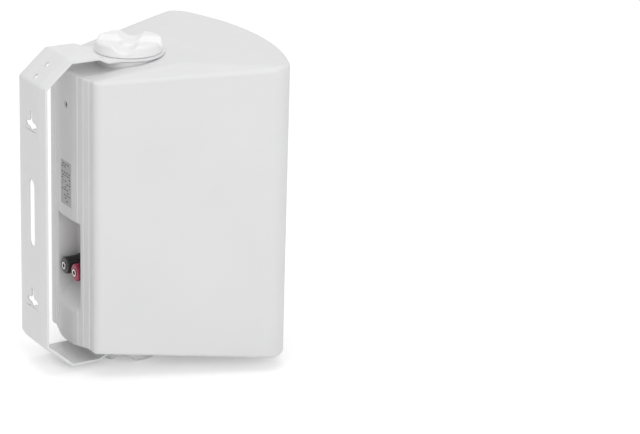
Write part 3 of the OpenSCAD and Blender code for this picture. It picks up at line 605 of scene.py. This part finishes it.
def add_cavity(skin):
    """Inside of the cabinet, from the ledge back, with the wall's thickness all round."""
    plan, normals, _ = outline()
    y0 = LEDGE_Y + LEDGE_T
    inner = plan - normals * WALL
    right = [p for p in inner[: len(inner) // 2] if p[1] > y0 + 2]
    right.append(np.array([half_width(y0) - WALL / math.cos(SIDE_ANGLE), y0]))
    left = [np.array([-p[0], p[1]]) for p in right[::-1]]
    lump = RECESS_W / 2 + WALL
    shares = (0.12, 0.15, 0.2, 0.25, 0.3, 0.4, 0.46, 0.5, 0.6, 0.8)

    def rear_in(x, z):
        plain = np.full_like(z, REAR_Y - WALL)
        return np.minimum(plain, recess_floor(z) - 1.4 * WALL) if abs(x) < lump else plain

    def column(x, y, rear=False):
        high = float(cap_height(x, min(y, REAR_Y - WALL))) - WALL
        zs = np.array([CAB_H - high, *(CAB_H * s for s in shares), high])
        ys = rear_in(x, zs) if rear else np.full_like(zs, y)
        ys[[0, -1]] = y
        return np.column_stack([np.full_like(zs, x), ys, zs])

    rows = [column(*p) for p in left]
    rows += [column(x, REAR_Y - WALL, True) for x in (-lump - 0.1, -lump + 0.1, 0, lump - 0.1, lump + 0.1)]
    rows += [column(*p) for p in right]
    skin.grid(rows)
    top = np.array([r[-1] for r in rows])
    flat, faces = fill([top[:, :2]])
    heights = cap_height(flat[:, 0], flat[:, 1]) - WALL
    skin.add(np.column_stack([flat, heights]), faces)
    skin.add(np.column_stack([flat, CAB_H - heights]), faces)
    border = [(p[0], p[2]) for p in rows[-1]] + [(p[0], p[2]) for p in rows[0][::-1]]
    flat, faces = fill([border, window(LEDGE_W)])
    skin.add(upright(flat, y0), faces)


# Bracket


class Path:
    """The bracket's side view: a line with rounded bends, read by its length."""

    def __init__(self, corners, radii):
        corners = [np.array(c, float) for c in corners]
        points = [corners[0]]
        for a, b, c, r in zip(corners, corners[1:], corners[2:], radii):
            u, v = (b - a) / np.linalg.norm(b - a), (c - b) / np.linalg.norm(c - b)
            turn = math.acos(float(np.clip(u @ v, -1, 1)))
            back = r * math.tan(turn / 2)
            start = b - u * back
            side = np.array([-u[1], u[0]]) * np.sign(u[0] * v[1] - u[1] * v[0])
            for i in range(BEND_STEPS + 1):
                t = turn * i / BEND_STEPS
                points.append(start + u * r * math.sin(t) + side * r * (1 - math.cos(t)))
        points.append(corners[-1])
        self.points = np.array(points)
        gaps = np.linalg.norm(np.diff(self.points, axis=0), axis=1)
        self.s = np.concatenate([[0], np.cumsum(gaps)])

    def nearest(self, point):
        """Length at which the path passes a point."""
        best = None
        for i in range(len(self.points) - 1):
            a, b = self.points[i], self.points[i + 1]
            ab = b - a
            t = float(np.clip((np.array(point) - a) @ ab / max(ab @ ab, 1e-12), 0, 1))
            d = np.linalg.norm(a + t * ab - point)
            if best is None or d < best[0]:
                best = (d, self.s[i] + t * (self.s[i + 1] - self.s[i]))
        return best[1]

    def at(self, s):
        """Place on the path at a length, and the path's outward normal there."""
        y = np.interp(s, self.s, self.points[:, 0])
        z = np.interp(s, self.s, self.points[:, 1])
        directions = np.gradient(self.points, axis=0) / np.gradient(self.s)[:, None]
        directions /= np.linalg.norm(directions, axis=1)[:, None]
        dy = np.interp(s, self.s, directions[:, 0])
        dz = np.interp(s, self.s, directions[:, 1])
        size = np.hypot(dy, dz)
        return y, z, -dz / size, dy / size


def bracket_path():
    upper = [
        (-DISC_R - 4, DISC_OUT),
        (RISE_START, DISC_OUT),
        (RISE_START + RISE_RUN, ARM_OUT),
        (STRAP_OUT - DIAG_Y, ARM_OUT),
        (STRAP_OUT, STRAP_TOP),
    ]
    lower = [(y, -z) for y, z in upper[::-1]]
    bends = [JOGGLE_R, JOGGLE_R, BEND_R, BEND_R]
    return Path(upper + lower, bends + bends[::-1])


def slot_loop(s, length, width):
    r = width / 2
    a = arc((0, s + length / 2 - r), r, 0, math.pi, 14)[0]
    b = arc((0, s - length / 2 + r), r, math.pi, 2 * math.pi, 14)[0]
    return np.vstack([a, b])


def keyhole_loop(s):
    """Round hole with an upward slot and a slot to each side; up is towards smaller s."""
    half, r = KEY_SLOT_W / 2, KEY_R
    dip = math.asin(half / r)
    loop = [
        arc((KEY_SIDE - half, 0), half, -math.pi / 2, math.pi / 2, 8)[0],
        arc((0, 0), r, dip, math.pi / 2 - dip, 8)[0],
        arc((0, KEY_UP - half), half, 0, math.pi, 8)[0],
        arc((0, 0), r, math.pi / 2 + dip, math.pi - dip, 8)[0],
        arc((half - KEY_SIDE, 0), half, math.pi / 2, 3 * math.pi / 2, 8)[0],
        arc((0, 0), r, math.pi + dip, 2 * math.pi - dip, 14)[0],
    ]
    return np.vstack(loop) * np.array([1, -1]) + np.array([0, s])


def bracket_outline(path):
    """Flat outline of the whole sheet, as x and length along the path."""
    half = STRAP_W / 2
    fillet_x = half + NECK_R
    fillet_y = math.sqrt((DISC_R + NECK_R) ** 2 - fillet_x**2)
    touch = math.atan2(fillet_y, fillet_x)
    disc_s = path.nearest((0, DISC_OUT))
    total = path.s[-1]
    disc = arc((0, disc_s), DISC_R, math.pi - touch, 2 * math.pi + touch, 72)[0]
    right = arc((fillet_x, disc_s + fillet_y), NECK_R, math.pi + touch, math.pi, 8)[0]
    left = right[::-1] * np.array([-1, 1])
    end = np.vstack([left, disc[1:-1], right])
    other = end[::-1].copy()
    other[:, 1] = total - other[:, 1]
    return np.vstack([end, other]), disc_s


def band_drop(x, s, path):
    """How far the band's edges lie below its raised middle."""
    rise0, rise1 = path.nearest((RISE_START, DISC_OUT)), path.nearest((RISE_START + RISE_RUN, ARM_OUT))
    from_end = np.minimum(s, path.s[-1] - s)
    t = np.clip((from_end - rise0) / (rise1 - rise0), 0, 1)
    rise = STRAP_RISE * t * t * (3 - 2 * t)
    flank = STRAP_W / 2 - STRAP_MID_W / 2
    fold = smooth_max(0, np.abs(x) - STRAP_MID_W / 2, FLANK_SOFT)
    return rise * np.clip(fold / flank, 0, 1)


def bracket_holes(path, disc_s):
    """The flat sheet's stud holes, slot, keyholes and round holes."""
    total, middle = path.s[-1], path.s[-1] / 2
    holes = [circle(0, disc_s, STUD_HOLE_R, 32), slot_loop(middle, SLOT_L, SLOT_W)]
    holes.append(keyhole_loop(middle - STRAP_TOP + KEY_TOP))
    holes.append(keyhole_loop(middle + STRAP_TOP - KEY_LOW))
    for share in DIAG_HOLE_SHARES:
        point = (STRAP_OUT - share * DIAG_Y, STRAP_TOP + share * DIAG_Z)
        holes.append(circle(0, path.nearest(point), DIAG_HOLE_R, 24))
    return holes + [np.column_stack([h[:, 0], total - h[:, 1]]) for h in (holes[0], *holes[4:])]


def bracket_lines(path):
    """Guide lines across the band, close together at its bends, and along its flanks."""
    total, half = path.s[-1], STRAP_W / 2
    first = path.nearest((RISE_START, DISC_OUT)) - 3
    cross = [s for s in path.s if first < s < total - first]
    cross += list(np.linspace(first, total - first, CROSS_LINES))
    lines = [[(-half, s), (half, s)] for s in cross]
    return lines + [[(side * x, first), (side * x, total - first)] for x in FLANK_LINES for side in (-1, 1)]


def build_bracket():
    path = bracket_path()
    border, disc_s = bracket_outline(path)
    flat, faces = fill([border, *bracket_holes(path, disc_s)], bracket_lines(path))

    def surface(depth):
        def mapped(p):
            y, z, ny, nz = path.at(p[:, 1])
            drop = band_drop(p[:, 0], p[:, 1], path) + depth
            return np.column_stack([p[:, 0], PIVOT_Y + y - ny * drop, MID_Z + z - nz * drop])

        return mapped

    skin = Skin()
    add_sheet(skin, flat, faces, surface(0), surface(SHEET))
    obj = skin.build("bracket_sheet", sharp=50)
    soften(obj, 0.35, 60)
    return obj


# Knobs


def knob_height(x, y):
    """Height of a knob's face over its underside, with the finger grooves and the hub."""
    x, y = np.asarray(x, float), np.asarray(y, float)
    z = np.full_like(x, KNOB_H)
    for a in (math.pi / 4, 3 * math.pi / 4):
        angle = a + KNOB_TURN
        d = np.abs(-x * math.sin(angle) + y * math.cos(angle))
        inner = np.sqrt(np.clip(GROOVE_R**2 - d * d, 0, None))
        groove = KNOB_H + GROOVE_R - GROOVE_DEPTH - inner
        z = smooth_min(z, groove, GROOVE_SOFT)
    r = np.hypot(x, y)
    hub = KNOB_H - GROOVE_DEPTH / 2 - HUB_DOME * r * r - np.clip(r - HUB_R + 1, 0, None) ** 2
    return smooth_max(z, hub, HUB_SOFT)


def build_knob(name, lower):
    """A knob with four finger grooves: rings of points from the middle of its face to its underside."""
    base = DISC_OUT + KNOB_GAP
    turn = full_turn(KNOB_STEPS)
    face = [(r, 0) for r in np.linspace(0.5, KNOB_R - KNOB_EDGE_R, KNOB_RINGS)]
    face += [(KNOB_R - inset, drop) for inset, drop in rounding(KNOB_EDGE_R, 6)[-2::-1]]
    rings = []
    for r, drop in face:
        x, y = r * np.cos(turn), r * np.sin(turn)
        rings.append(np.column_stack([x, y, knob_height(x, y) - drop]))
    for inset, z in KNOB_SKIRT:
        r = KNOB_R - inset
        rings.append(np.column_stack([r * np.cos(turn), r * np.sin(turn), np.full(KNOB_STEPS, z)]))
    rings = np.array(rings)
    sign = -1 if lower else 1
    rings[:, :, 2] = sign * (rings[:, :, 2] + base)
    rings += np.array([0, PIVOT_Y, MID_Z])
    centre = knob_height(np.zeros(1), np.zeros(1))[0]
    skin = Skin()
    skin.grid(rings, closed=True)
    skin.disc(rings[0], (0, PIVOT_Y, MID_Z + sign * (base + centre)))
    skin.disc(rings[-1], (0, PIVOT_Y, MID_Z + sign * base))
    return skin.build(name, sharp=60)


# Terminals


def build_post_cap(name, side):
    """A terminal's cap: a fluted sleeve with rounded ends and a bore for its stud."""
    steps = FLUTES * FLUTE_STEPS
    y0 = CAB_DEPTH - RECESS_DEPTH + COLLAR_T + POST_GAP
    turn = full_turn(steps)
    dip = FLUTE_DEPTH * np.clip(np.cos(FLUTES * turn), 0, 1) ** 2
    bore, r0, end = POST_STUD_R + POST_CLEAR, POST_CAP_R, POST_CAP_L
    # Radius, place along the axis and share of the flutes' depth
    profile = [(bore, 0, 0), (r0 - 0.5, 0, 0), (r0 - 0.15, 0.15, 0), (r0, 0.5, 0), (r0, 1.6, 0)]
    profile += [(r0, 2.4, 1), (r0, end - POST_END_R, 1)]
    for share, (inset, back) in list(zip(np.linspace(1, 0, 6), rounding(POST_END_R, 5)))[1:]:
        profile.append((r0 - inset, end - back, share))
    profile += [(r0 - 2, end, 0), (bore + 0.9, end, 0), (bore + 0.7, end - 0.4, 0)]
    profile += [(bore, end - 0.4, 0), (bore, 0, 0)]
    rows = []
    for r, along, flute in profile:
        radius = r - dip * flute
        x = side * POST_PITCH / 2 + radius * np.cos(turn)
        z = POST_Z + radius * np.sin(turn)
        rows.append(np.column_stack([x, np.full(steps, y0 + along), z]))
    skin = Skin()
    skin.grid(rows, closed=True)
    return skin.build(name, sharp=50)


# Grille


def grille_centres():
    """Centres of the grille's holes, in staggered rows."""
    row_step = GRILLE_PITCH * math.sqrt(3) / 2
    rows, across = int(OPEN_H / 2 / row_step), int(OPEN_W / 2 / GRILLE_PITCH) + 1
    centres = np.array([
        ((i + 0.5 * (k % 2)) * GRILLE_PITCH, MID_Z + k * row_step)
        for k in range(-rows, rows + 1)
        for i in range(-across, across + 1)
    ])
    return centres[inside(centres, [window(GRILLE_MARGIN)])]


def build_grille():
    """Bowed sheet with round perforations and a folded edge."""
    outer, inner = window(GRILLE_FIT), window(GRILLE_FIT + GRILLE_T)
    centres = grille_centres()
    turn = full_turn(GRILLE_HOLE_SIDES) + math.pi / GRILLE_HOLE_SIDES
    hole = GRILLE_HOLE_R * np.column_stack([np.cos(turn), np.sin(turn)])
    tree = KDTree(len(centres))
    for i, c in enumerate(centres):
        tree.insert((*c, 0), i)
    tree.balance()

    def keep(points):
        """Faces within the sheet whose middle lies outside every hole."""
        far = np.array([tree.find((*p, 0))[2] > HOLE_SHARE * GRILLE_HOLE_R for p in points])
        return inside(points, [outer]) & far

    low, high = MID_Z - OPEN_H / 2, MID_Z + OPEN_H / 2
    uprights = [
        [(x, z0), (x, z1)]
        for z0, z1 in ((low + BORDER_NEAR, low + BORDER_FAR), (high - BORDER_FAR, high - BORDER_NEAR))
        for x in np.arange(-BORDER_X, BORDER_X + 1, BORDER_STEP)
    ]
    flat, faces = fill([outer, *[c + hole for c in centres]], uprights, keep)

    def bow(x, depth):
        return ARC_Y - np.sqrt((ARC_R - GRILLE_SINK - depth) ** 2 - x**2)

    skin = Skin()
    add_sheet(
        skin, flat, faces, lambda p: upright(p, bow(p[:, 0], 0)), lambda p: upright(p, bow(p[:, 0], GRILLE_T))
    )
    back_out = upright(outer, bow(outer[:, 0], GRILLE_T) - GRILLE_SEAM)
    back_in = upright(inner, bow(inner[:, 0], GRILLE_T) - GRILLE_SEAM)
    flange = [back_out, upright(outer, GRILLE_BACK), upright(inner, GRILLE_BACK), back_in, back_out]
    skin.grid(flange, closed=True)
    return skin.build("grille_sheet", sharp=40)


# Materials


def feed(tree, socket, value):
    """Sets a socket's value, or links it to another node or socket."""
    if isinstance(value, bpy.types.Node):
        value = value.outputs[0]
    if isinstance(value, bpy.types.NodeSocket):
        tree.links.new(value, socket)
    else:
        socket.default_value = value


def new_node(tree, kind, *values, **settings):
    """A new node: values go to its inputs in order, and a setting to an input or a property of that name."""
    n = tree.nodes.new(kind)
    for socket, value in zip(n.inputs, values):
        feed(tree, socket, value)
    for key, value in settings.items():
        socket = key.replace("_", " ")
        if socket in n.inputs:
            feed(tree, n.inputs[socket], value)
        else:
            setattr(n, key, value)
    return n


class Shader:
    """A node material with a principled shader, built from procedural textures."""

    def __init__(self, name, rough, metal=0.0, coat=0.0, specular=0.5):
        self.mat = bpy.data.materials.new(name)
        self.mat.use_nodes = True
        self.tree = self.mat.node_tree
        self.main = self.tree.nodes["Principled BSDF"]
        values = {"Roughness": rough, "Metallic": metal, "Coat Weight": coat, "Specular IOR Level": specular}
        for name_in, value in values.items():
            self.main.inputs[name_in].default_value = value
        self.coords = self.node("ShaderNodeTexCoord").outputs["Object"]

    def node(self, kind, *values, **settings):
        return new_node(self.tree, kind, *values, **settings)

    def noise(self, scale, detail=2.0, stretch=None, distortion=0.0):
        at = self.node("ShaderNodeMapping", self.coords, Scale=stretch) if stretch else self.coords
        n = self.node("ShaderNodeTexNoise", at, Scale=scale, Detail=detail, Distortion=distortion)
        return n.outputs["Fac"]

    def ramp(self, value, stops):
        """Colours along a value: stops are (place, colour)."""
        n = self.node("ShaderNodeValToRGB")
        while len(n.color_ramp.elements) < len(stops):
            n.color_ramp.elements.new(0.5)
        for element, (at, colour) in zip(n.color_ramp.elements, stops):
            element.position = at
            element.color = (*colour, 1)
        feed(self.tree, n.inputs["Fac"], value)
        return n

    def colour(self, value):
        feed(self.tree, self.main.inputs["Base Color"], value)

    def tint(self, colour, spread, scale, detail=3.0, stretch=None):
        """Base colour that drifts by a share round its own value."""
        low = [max(0, c * (1 - spread)) for c in colour]
        high = [min(1, c * (1 + spread)) for c in colour]
        self.colour(self.ramp(self.noise(scale, detail, stretch), [(0.3, low), (0.7, high)]))

    def roughness(self, low, high, scale, stretch=None):
        n = self.node("ShaderNodeMapRange", self.noise(scale, 2, stretch), 0.3, 0.7, low, high)
        feed(self.tree, self.main.inputs["Roughness"], n)

    def bump(self, height, distance, strength=1.0):
        n = self.node("ShaderNodeBump", Distance=distance, Strength=strength, Height=height)
        previous = self.main.inputs["Normal"].links
        if previous:
            feed(self.tree, n.inputs["Normal"], previous[0].from_socket)
        feed(self.tree, self.main.inputs["Normal"], n)

    def wave(self, pitch, axis):
        """Ridges one pitch apart, in metres, along an axis."""
        n = self.node("ShaderNodeTexWave", self.coords, Scale=math.pi / pitch / 10, bands_direction=axis)
        return n.outputs["Fac"]

    def bricks(self, colours, gap, width, height):
        """Brick pattern across x and z: two bricks' colours and the mortar's, then its sizes in metres."""
        laid = self.node("ShaderNodeMapping", self.coords, Rotation=(math.pi / 2, 0, 0))
        shades = [(*colour, 1) for colour in colours]
        sizes = {"Scale": 1.0, "Mortar Size": gap, "Brick Width": width, "Row Height": height}
        return self.node("ShaderNodeTexBrick", laid, *shades, **sizes)

    def maths(self, operation, a, b):
        return self.node("ShaderNodeMath", a, b, operation=operation)


def moulded(name, colour, rough, grain=1400, depth=0.00004, spread=0.015):
    """Moulded plastic with a fine spark-eroded grain and a faint drift in tone."""
    s = Shader(name, rough)
    s.tint(colour, spread, 14)
    s.roughness(rough - 0.05, rough + 0.06, 45)
    s.bump(s.noise(grain, 3), depth, 0.5)
    s.bump(s.noise(grain / 12, 2), depth * 2, 0.15)
    return s.mat


def coated(name, colour, rough):
    """Powder coat: a soft orange-peel surface."""
    s = Shader(name, rough)
    s.tint(colour, 0.012, 22)
    s.roughness(rough - 0.05, rough + 0.05, 90)
    s.bump(s.noise(650, 2), 0.00006, 0.35)
    return s.mat


def metal(name, colour, rough, streak=(1, 1, 1)):
    """Turned or plated metal, with fine marks that streak shortens along an axis."""
    s = Shader(name, rough, metal=1.0)
    s.tint(colour, 0.06, 500, 2, streak)
    s.roughness(max(0.05, rough - 0.08), rough + 0.1, 500, streak)
    s.bump(s.noise(1000, 2, streak), 0.00001, 0.4)
    return s.mat


def woven(name, colour, pitch, rough=0.85, depth=0.0001):
    """Cloth of crossing threads, with painted shade between the threads and a painted highlight on their
    crossings.
    """
    s = Shader(name, rough, specular=0.3)
    threads = s.maths("MULTIPLY", s.wave(pitch, "X"), s.wave(pitch, "Z"))
    # Painted shade and highlight: the colour darkens to about half between the threads and lightens where
    # they cross, following the bump.
    dark, light = [c * 0.55 for c in colour], [min(1, c * 1.3) for c in colour]
    s.colour(s.ramp(threads, [(0.0, dark), (1.0, light)]))
    s.roughness(rough - 0.05, rough + 0.08, 300)
    s.bump(threads, depth, 0.7)
    return s.mat


def fibrous(name, colour, scale, rough=0.9, depth=0.0002, spread=0.2):
    """Paper, foam or felt."""
    s = Shader(name, rough, specular=0.25)
    s.tint(colour, spread, scale, 6)
    s.roughness(rough - 0.08, rough, scale / 3)
    s.bump(s.noise(scale * 1.5, 6, distortion=0.6), depth, 0.7)
    return s.mat


def wound(name, colour, pitch, axis):
    """Enamelled wire, with its turns side by side and painted shade in the grooves between them."""
    s = Shader(name, 0.3, metal=1.0, coat=0.4)
    turns = s.wave(pitch, axis)
    # Painted shade: the colour darkens to about a third in the grooves between the turns.
    s.colour(s.ramp(turns, [(0.0, [c * 0.35 for c in colour]), (0.6, colour)]))
    s.roughness(0.22, 0.4, 200)
    s.bump(turns, 0.0002, 0.8)
    return s.mat


def label_print():
    """Plain label: rows of short bars inside a bare margin, with no lettering."""
    s = Shader("label_print", 0.45)
    low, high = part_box("rear_label")
    bars = s.bricks(((0, 0, 0), (1, 1, 1), (1, 1, 1)), 0.0007, 0.0042, 0.0024)
    bars.offset = 0.35
    paper, ink = (0.46, 0.46, 0.47), (0.015, 0.015, 0.018)
    print_colour = s.ramp(bars, [(0.0, ink), (0.42, ink), (0.46, paper), (1.0, paper)])
    split = s.node("ShaderNodeSeparateXYZ", s.coords)
    margin = 0.0015

    def between(axis):
        value = split.outputs[axis.upper()]
        above = s.maths("GREATER_THAN", value, getattr(low, axis) + margin)
        below = s.maths("LESS_THAN", value, getattr(high, axis) - margin)
        return s.maths("MULTIPLY", above, below)

    printed = s.maths("MULTIPLY", between("x"), between("z"))
    mixed = s.node("ShaderNodeMix", data_type="RGBA", Factor=printed, A=(*paper, 1), B=print_colour)
    s.colour(mixed.outputs["Result"])
    s.roughness(0.4, 0.5, 200)
    s.bump(s.noise(900, 2), 0.00002, 0.3)
    return s.mat


def board_face():
    """Circuit board: green lacquer over darker copper runs."""
    s = Shader("board_lacquer", 0.35, coat=0.3)
    greens = ((0.01, 0.1, 0.045), (0.012, 0.13, 0.055), (0.03, 0.2, 0.08))
    runs = s.bricks(greens, 0.0006, 0.012, 0.005)
    s.colour(runs)
    s.roughness(0.3, 0.42, 150)
    s.bump(runs.outputs["Fac"], 0.00005, 0.4)
    return s.mat


SHELL_WHITE = (0.77, 0.77, 0.775)
COAT_WHITE = (0.8, 0.8, 0.805)
KNOB_WHITE = (0.88, 0.88, 0.88)


def make_materials():
    return {
        "shell": moulded("shell_plastic", SHELL_WHITE, 0.5),
        "bracket": coated("bracket_coat", COAT_WHITE, 0.42),
        "knob": moulded("knob_plastic", KNOB_WHITE, 0.38, grain=1800, depth=0.00002),
        "grille": coated("grille_coat", COAT_WHITE, 0.45),
        "cloth": woven("grille_cloth", (0.05, 0.05, 0.052), 0.0012),
        "black": moulded("black_plastic", (0.022, 0.022, 0.024), 0.35, depth=0.00003, spread=0.12),
        "red": moulded("red_plastic", (0.33, 0.004, 0.05), 0.3, depth=0.00003, spread=0.08),
        "frame": coated("driver_frame", (0.03, 0.03, 0.033), 0.5),
        "foam": fibrous("foam", (0.03, 0.03, 0.03), 700),
        "rubber": moulded("surround_rubber", (0.02, 0.02, 0.021), 0.55, spread=0.1),
        "cone": fibrous("cone_paper", (0.035, 0.035, 0.04), 900, 0.8, 0.0001),
        "spider": woven("spider_cloth", (0.5, 0.28, 0.08), 0.0009),
        "coil": wound("voice_coil_wire", (0.72, 0.32, 0.14), 0.0004, "Y"),
        "choke": wound("choke_wire", (0.75, 0.35, 0.16), 0.0012, "Y"),
        "steel": metal("plated_steel", (0.62, 0.62, 0.64), 0.35, (1, 12, 1)),
        "ferrite": fibrous("ferrite", (0.05, 0.05, 0.055), 500, 0.6, 0.00005),
        "screws": metal("black_screws", (0.12, 0.12, 0.125), 0.4),
        "silk": woven("dome_silk", (0.08, 0.07, 0.06), 0.0006, 0.7, 0.00004),
        "board": board_face(),
        "sleeve": moulded("capacitor_sleeve", (0.03, 0.06, 0.22), 0.3, spread=0.06),
        "ceramic": fibrous("resistor_body", (0.62, 0.6, 0.55), 600, 0.85, 0.00006, 0.05),
        "label": label_print(),
        "nickel": metal("nickel", (0.72, 0.7, 0.67), 0.2, (1, 10, 1)),
        "brass": metal("brass", (0.7, 0.52, 0.22), 0.3, (1, 1, 14)),
        "felt": fibrous("polyester_felt", (0.6, 0.6, 0.58), 350, 0.95, 0.0006),
    }


# The frame's own nodes that stay in view, by finish
FINISH_NODES = {
    "black": "front_baffle tweeter_faceplate black_post_collar",
    "foam": "baffle_seal woofer_gasket",
    "screws": "baffle_screws woofer_screws tweeter_screws rear_screw",
    "cloth": "grille_cloth",
    "frame": "woofer_basket",
    "rubber": "woofer_surround top_washer bottom_washer",
    "cone": "woofer_cone dust_cap",
    "coil": "voice_coil tweeter_coil",
    "spider": "woofer_spider",
    "steel": "woofer_top_plate woofer_yoke board_screws top_stud bottom_stud",
    "ferrite": "woofer_magnet tweeter_magnet",
    "silk": "tweeter_dome",
    "board": "crossover_board",
    "choke": "crossover_coil",
    "sleeve": "crossover_capacitors",
    "ceramic": "crossover_resistor",
    "label": "rear_label",
    "red": "red_post_collar",
    "nickel": "post_studs",
    "brass": "post_nuts top_insert bottom_insert",
    "felt": "damping_pads",
}


def dress(obj, material):
    obj.data.materials.clear()
    obj.data.materials.append(material)


def cut_screw_hole(shell):
    """Cuts the rear screw's hole as a plain round bore."""
    depths = (CAB_DEPTH - SCREW_HOLE_DEPTH, CAB_DEPTH + 2)
    ring = circle(0, SCREW_Z, SCREW_HOLE_R, 32)
    skin = Skin()
    skin.grid([upright(ring, y) for y in depths], closed=True)
    for y in depths:
        skin.disc(upright(ring, y), (0, y, SCREW_Z))
    cutter = skin.build("bore_cutter")
    modifier(shell, "BOOLEAN", "bores", operation="DIFFERENCE", object=cutter, solver="EXACT")
    made = bpy.data.meshes.new_from_object(shell.evaluated_get(bpy.context.evaluated_depsgraph_get()))
    shell.modifiers.clear()
    shell.data = made
    bpy.data.objects.remove(cutter)


def add_piece(obj, body, slot, material, *nodes):
    dress(obj, material)
    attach(obj, body)
    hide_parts(*nodes)


def build_pieces():
    finish = make_materials()
    shell = build_shell()
    cut_screw_hole(shell)
    modifier(shell, "WEIGHTED_NORMAL", "shading", keep_sharp=True)
    add_piece(shell, "cabinet", "shell", finish["shell"], "cabinet_shell")
    add_piece(build_bracket(), "bracket", "bracket_coat", finish["bracket"], "bracket")
    add_piece(build_knob("knob_top", False), "top_knob", "knob", finish["knob"], "top_knob")
    add_piece(build_knob("knob_bottom", True), "bottom_knob", "knob", finish["knob"], "bottom_knob")
    add_piece(build_post_cap("cap_black", 1), "black_cap", "black_plastic", finish["black"], "black_post_cap")
    add_piece(build_post_cap("cap_red", -1), "red_cap", "red_plastic", finish["red"], "red_post_cap")
    add_piece(build_grille(), "cabinet", "grille", finish["grille"], "grille")
    for key, nodes in FINISH_NODES.items():
        for node in nodes.split():
            dress(frame["nodes"][node], finish[key])


# Camera, floor and light

CAMERA_AT = (-1.767335, 0.933209, 0.831853)
CAMERA_RIGHT = (-0.520773, -0.853232, 0.028130)
CAMERA_DOWN = (-0.301120, 0.152758, -0.941271)
CAMERA_AHEAD = (0.798825, -0.498659, -0.336477)
CAMERA_LENS, CAMERA_SENSOR = 144.354, 36


def add_camera():
    data = bpy.data.cameras.new("camera")
    data.lens, data.sensor_width, data.sensor_fit = CAMERA_LENS, CAMERA_SENSOR, "HORIZONTAL"
    camera = bpy.data.objects.new("camera", data)
    axes = [Vector(CAMERA_RIGHT), -Vector(CAMERA_DOWN), -Vector(CAMERA_AHEAD)]
    camera.matrix_world = Matrix.Translation(CAMERA_AT) @ Matrix(axes).transposed().to_4x4()
    bpy.context.scene.collection.objects.link(camera)
    bpy.context.scene.camera = camera


def seen_directly(tree):
    """A node that gives 1 for camera, glossy and transmission rays."""
    path = new_node(tree, "ShaderNodeLightPath")
    value = path.outputs["Is Camera Ray"]
    for name in ("Is Glossy Ray", "Is Transmission Ray"):
        value = new_node(tree, "ShaderNodeMath", value, path.outputs[name], operation="MAXIMUM")
    return value


# The floor lies just under the part, in metres
WORLD_LEVEL, FLOOR_GLOW = 0.62, 0.3
FLOOR_HALF, FLOOR_Z, FLOOR_COLOUR = 12, -0.0003, (0.9, 0.9, 0.9, 1)
LIGHT_TARGET = (0, 0, 0.14)
KEY_AT, KEY_SIZE, KEY_POWER = (-2.4, 0.5, 1.25), 1.4, 18
TOP_AT, TOP_SIZE, TOP_POWER = (0.1, 0.1, 2.6), 1.8, 15


def add_world():
    world = bpy.data.worlds.new("studio")
    world.use_nodes = True
    bpy.context.scene.world = world
    tree = world.node_tree
    tree.nodes.remove(tree.nodes["Background"])
    light = new_node(tree, "ShaderNodeBackground", (1, 1, 1, 1), WORLD_LEVEL)
    white = new_node(tree, "ShaderNodeBackground", (1, 1, 1, 1))
    mix = new_node(tree, "ShaderNodeMixShader", seen_directly(tree), light, white)
    feed(tree, tree.nodes["World Output"].inputs["Surface"], mix)


def add_floor():
    mesh = bpy.data.meshes.new("floor")
    corners = [(-1, -1), (1, -1), (1, 1), (-1, 1)]
    mesh.from_pydata([(FLOOR_HALF * x, FLOOR_HALF * y, FLOOR_Z) for x, y in corners], [], [(0, 1, 2, 3)])
    floor = bpy.data.objects.new("floor", mesh)
    bpy.context.scene.collection.objects.link(floor)
    mat = bpy.data.materials.new("floor_white")
    mat.use_nodes = True
    tree = mat.node_tree
    tree.nodes.remove(tree.nodes["Principled BSDF"])
    gain = new_node(tree, "ShaderNodeMath", seen_directly(tree), FLOOR_GLOW, operation="MULTIPLY")
    glow = new_node(tree, "ShaderNodeEmission", Strength=gain)
    diffuse = new_node(tree, "ShaderNodeBsdfDiffuse", FLOOR_COLOUR)
    both = new_node(tree, "ShaderNodeAddShader", diffuse, glow)
    feed(tree, tree.nodes["Material Output"].inputs["Surface"], both)
    mesh.materials.append(mat)


def add_light(name, at, size, power):
    """A round area lamp that points at the part."""
    data = bpy.data.lights.new(name, "AREA")
    data.shape, data.size, data.energy = "DISK", size, power
    lamp = bpy.data.objects.new(name, data)
    lamp.location = at
    lamp.rotation_euler = (Vector(LIGHT_TARGET) - Vector(at)).to_track_quat("-Z", "Y").to_euler()
    bpy.context.scene.collection.objects.link(lamp)


build_pieces()
add_camera()
add_world()
add_floor()
add_light("key", KEY_AT, KEY_SIZE, KEY_POWER)
add_light("top", TOP_AT, TOP_SIZE, TOP_POWER)

bpy.context.scene.view_settings.view_transform = "Standard"
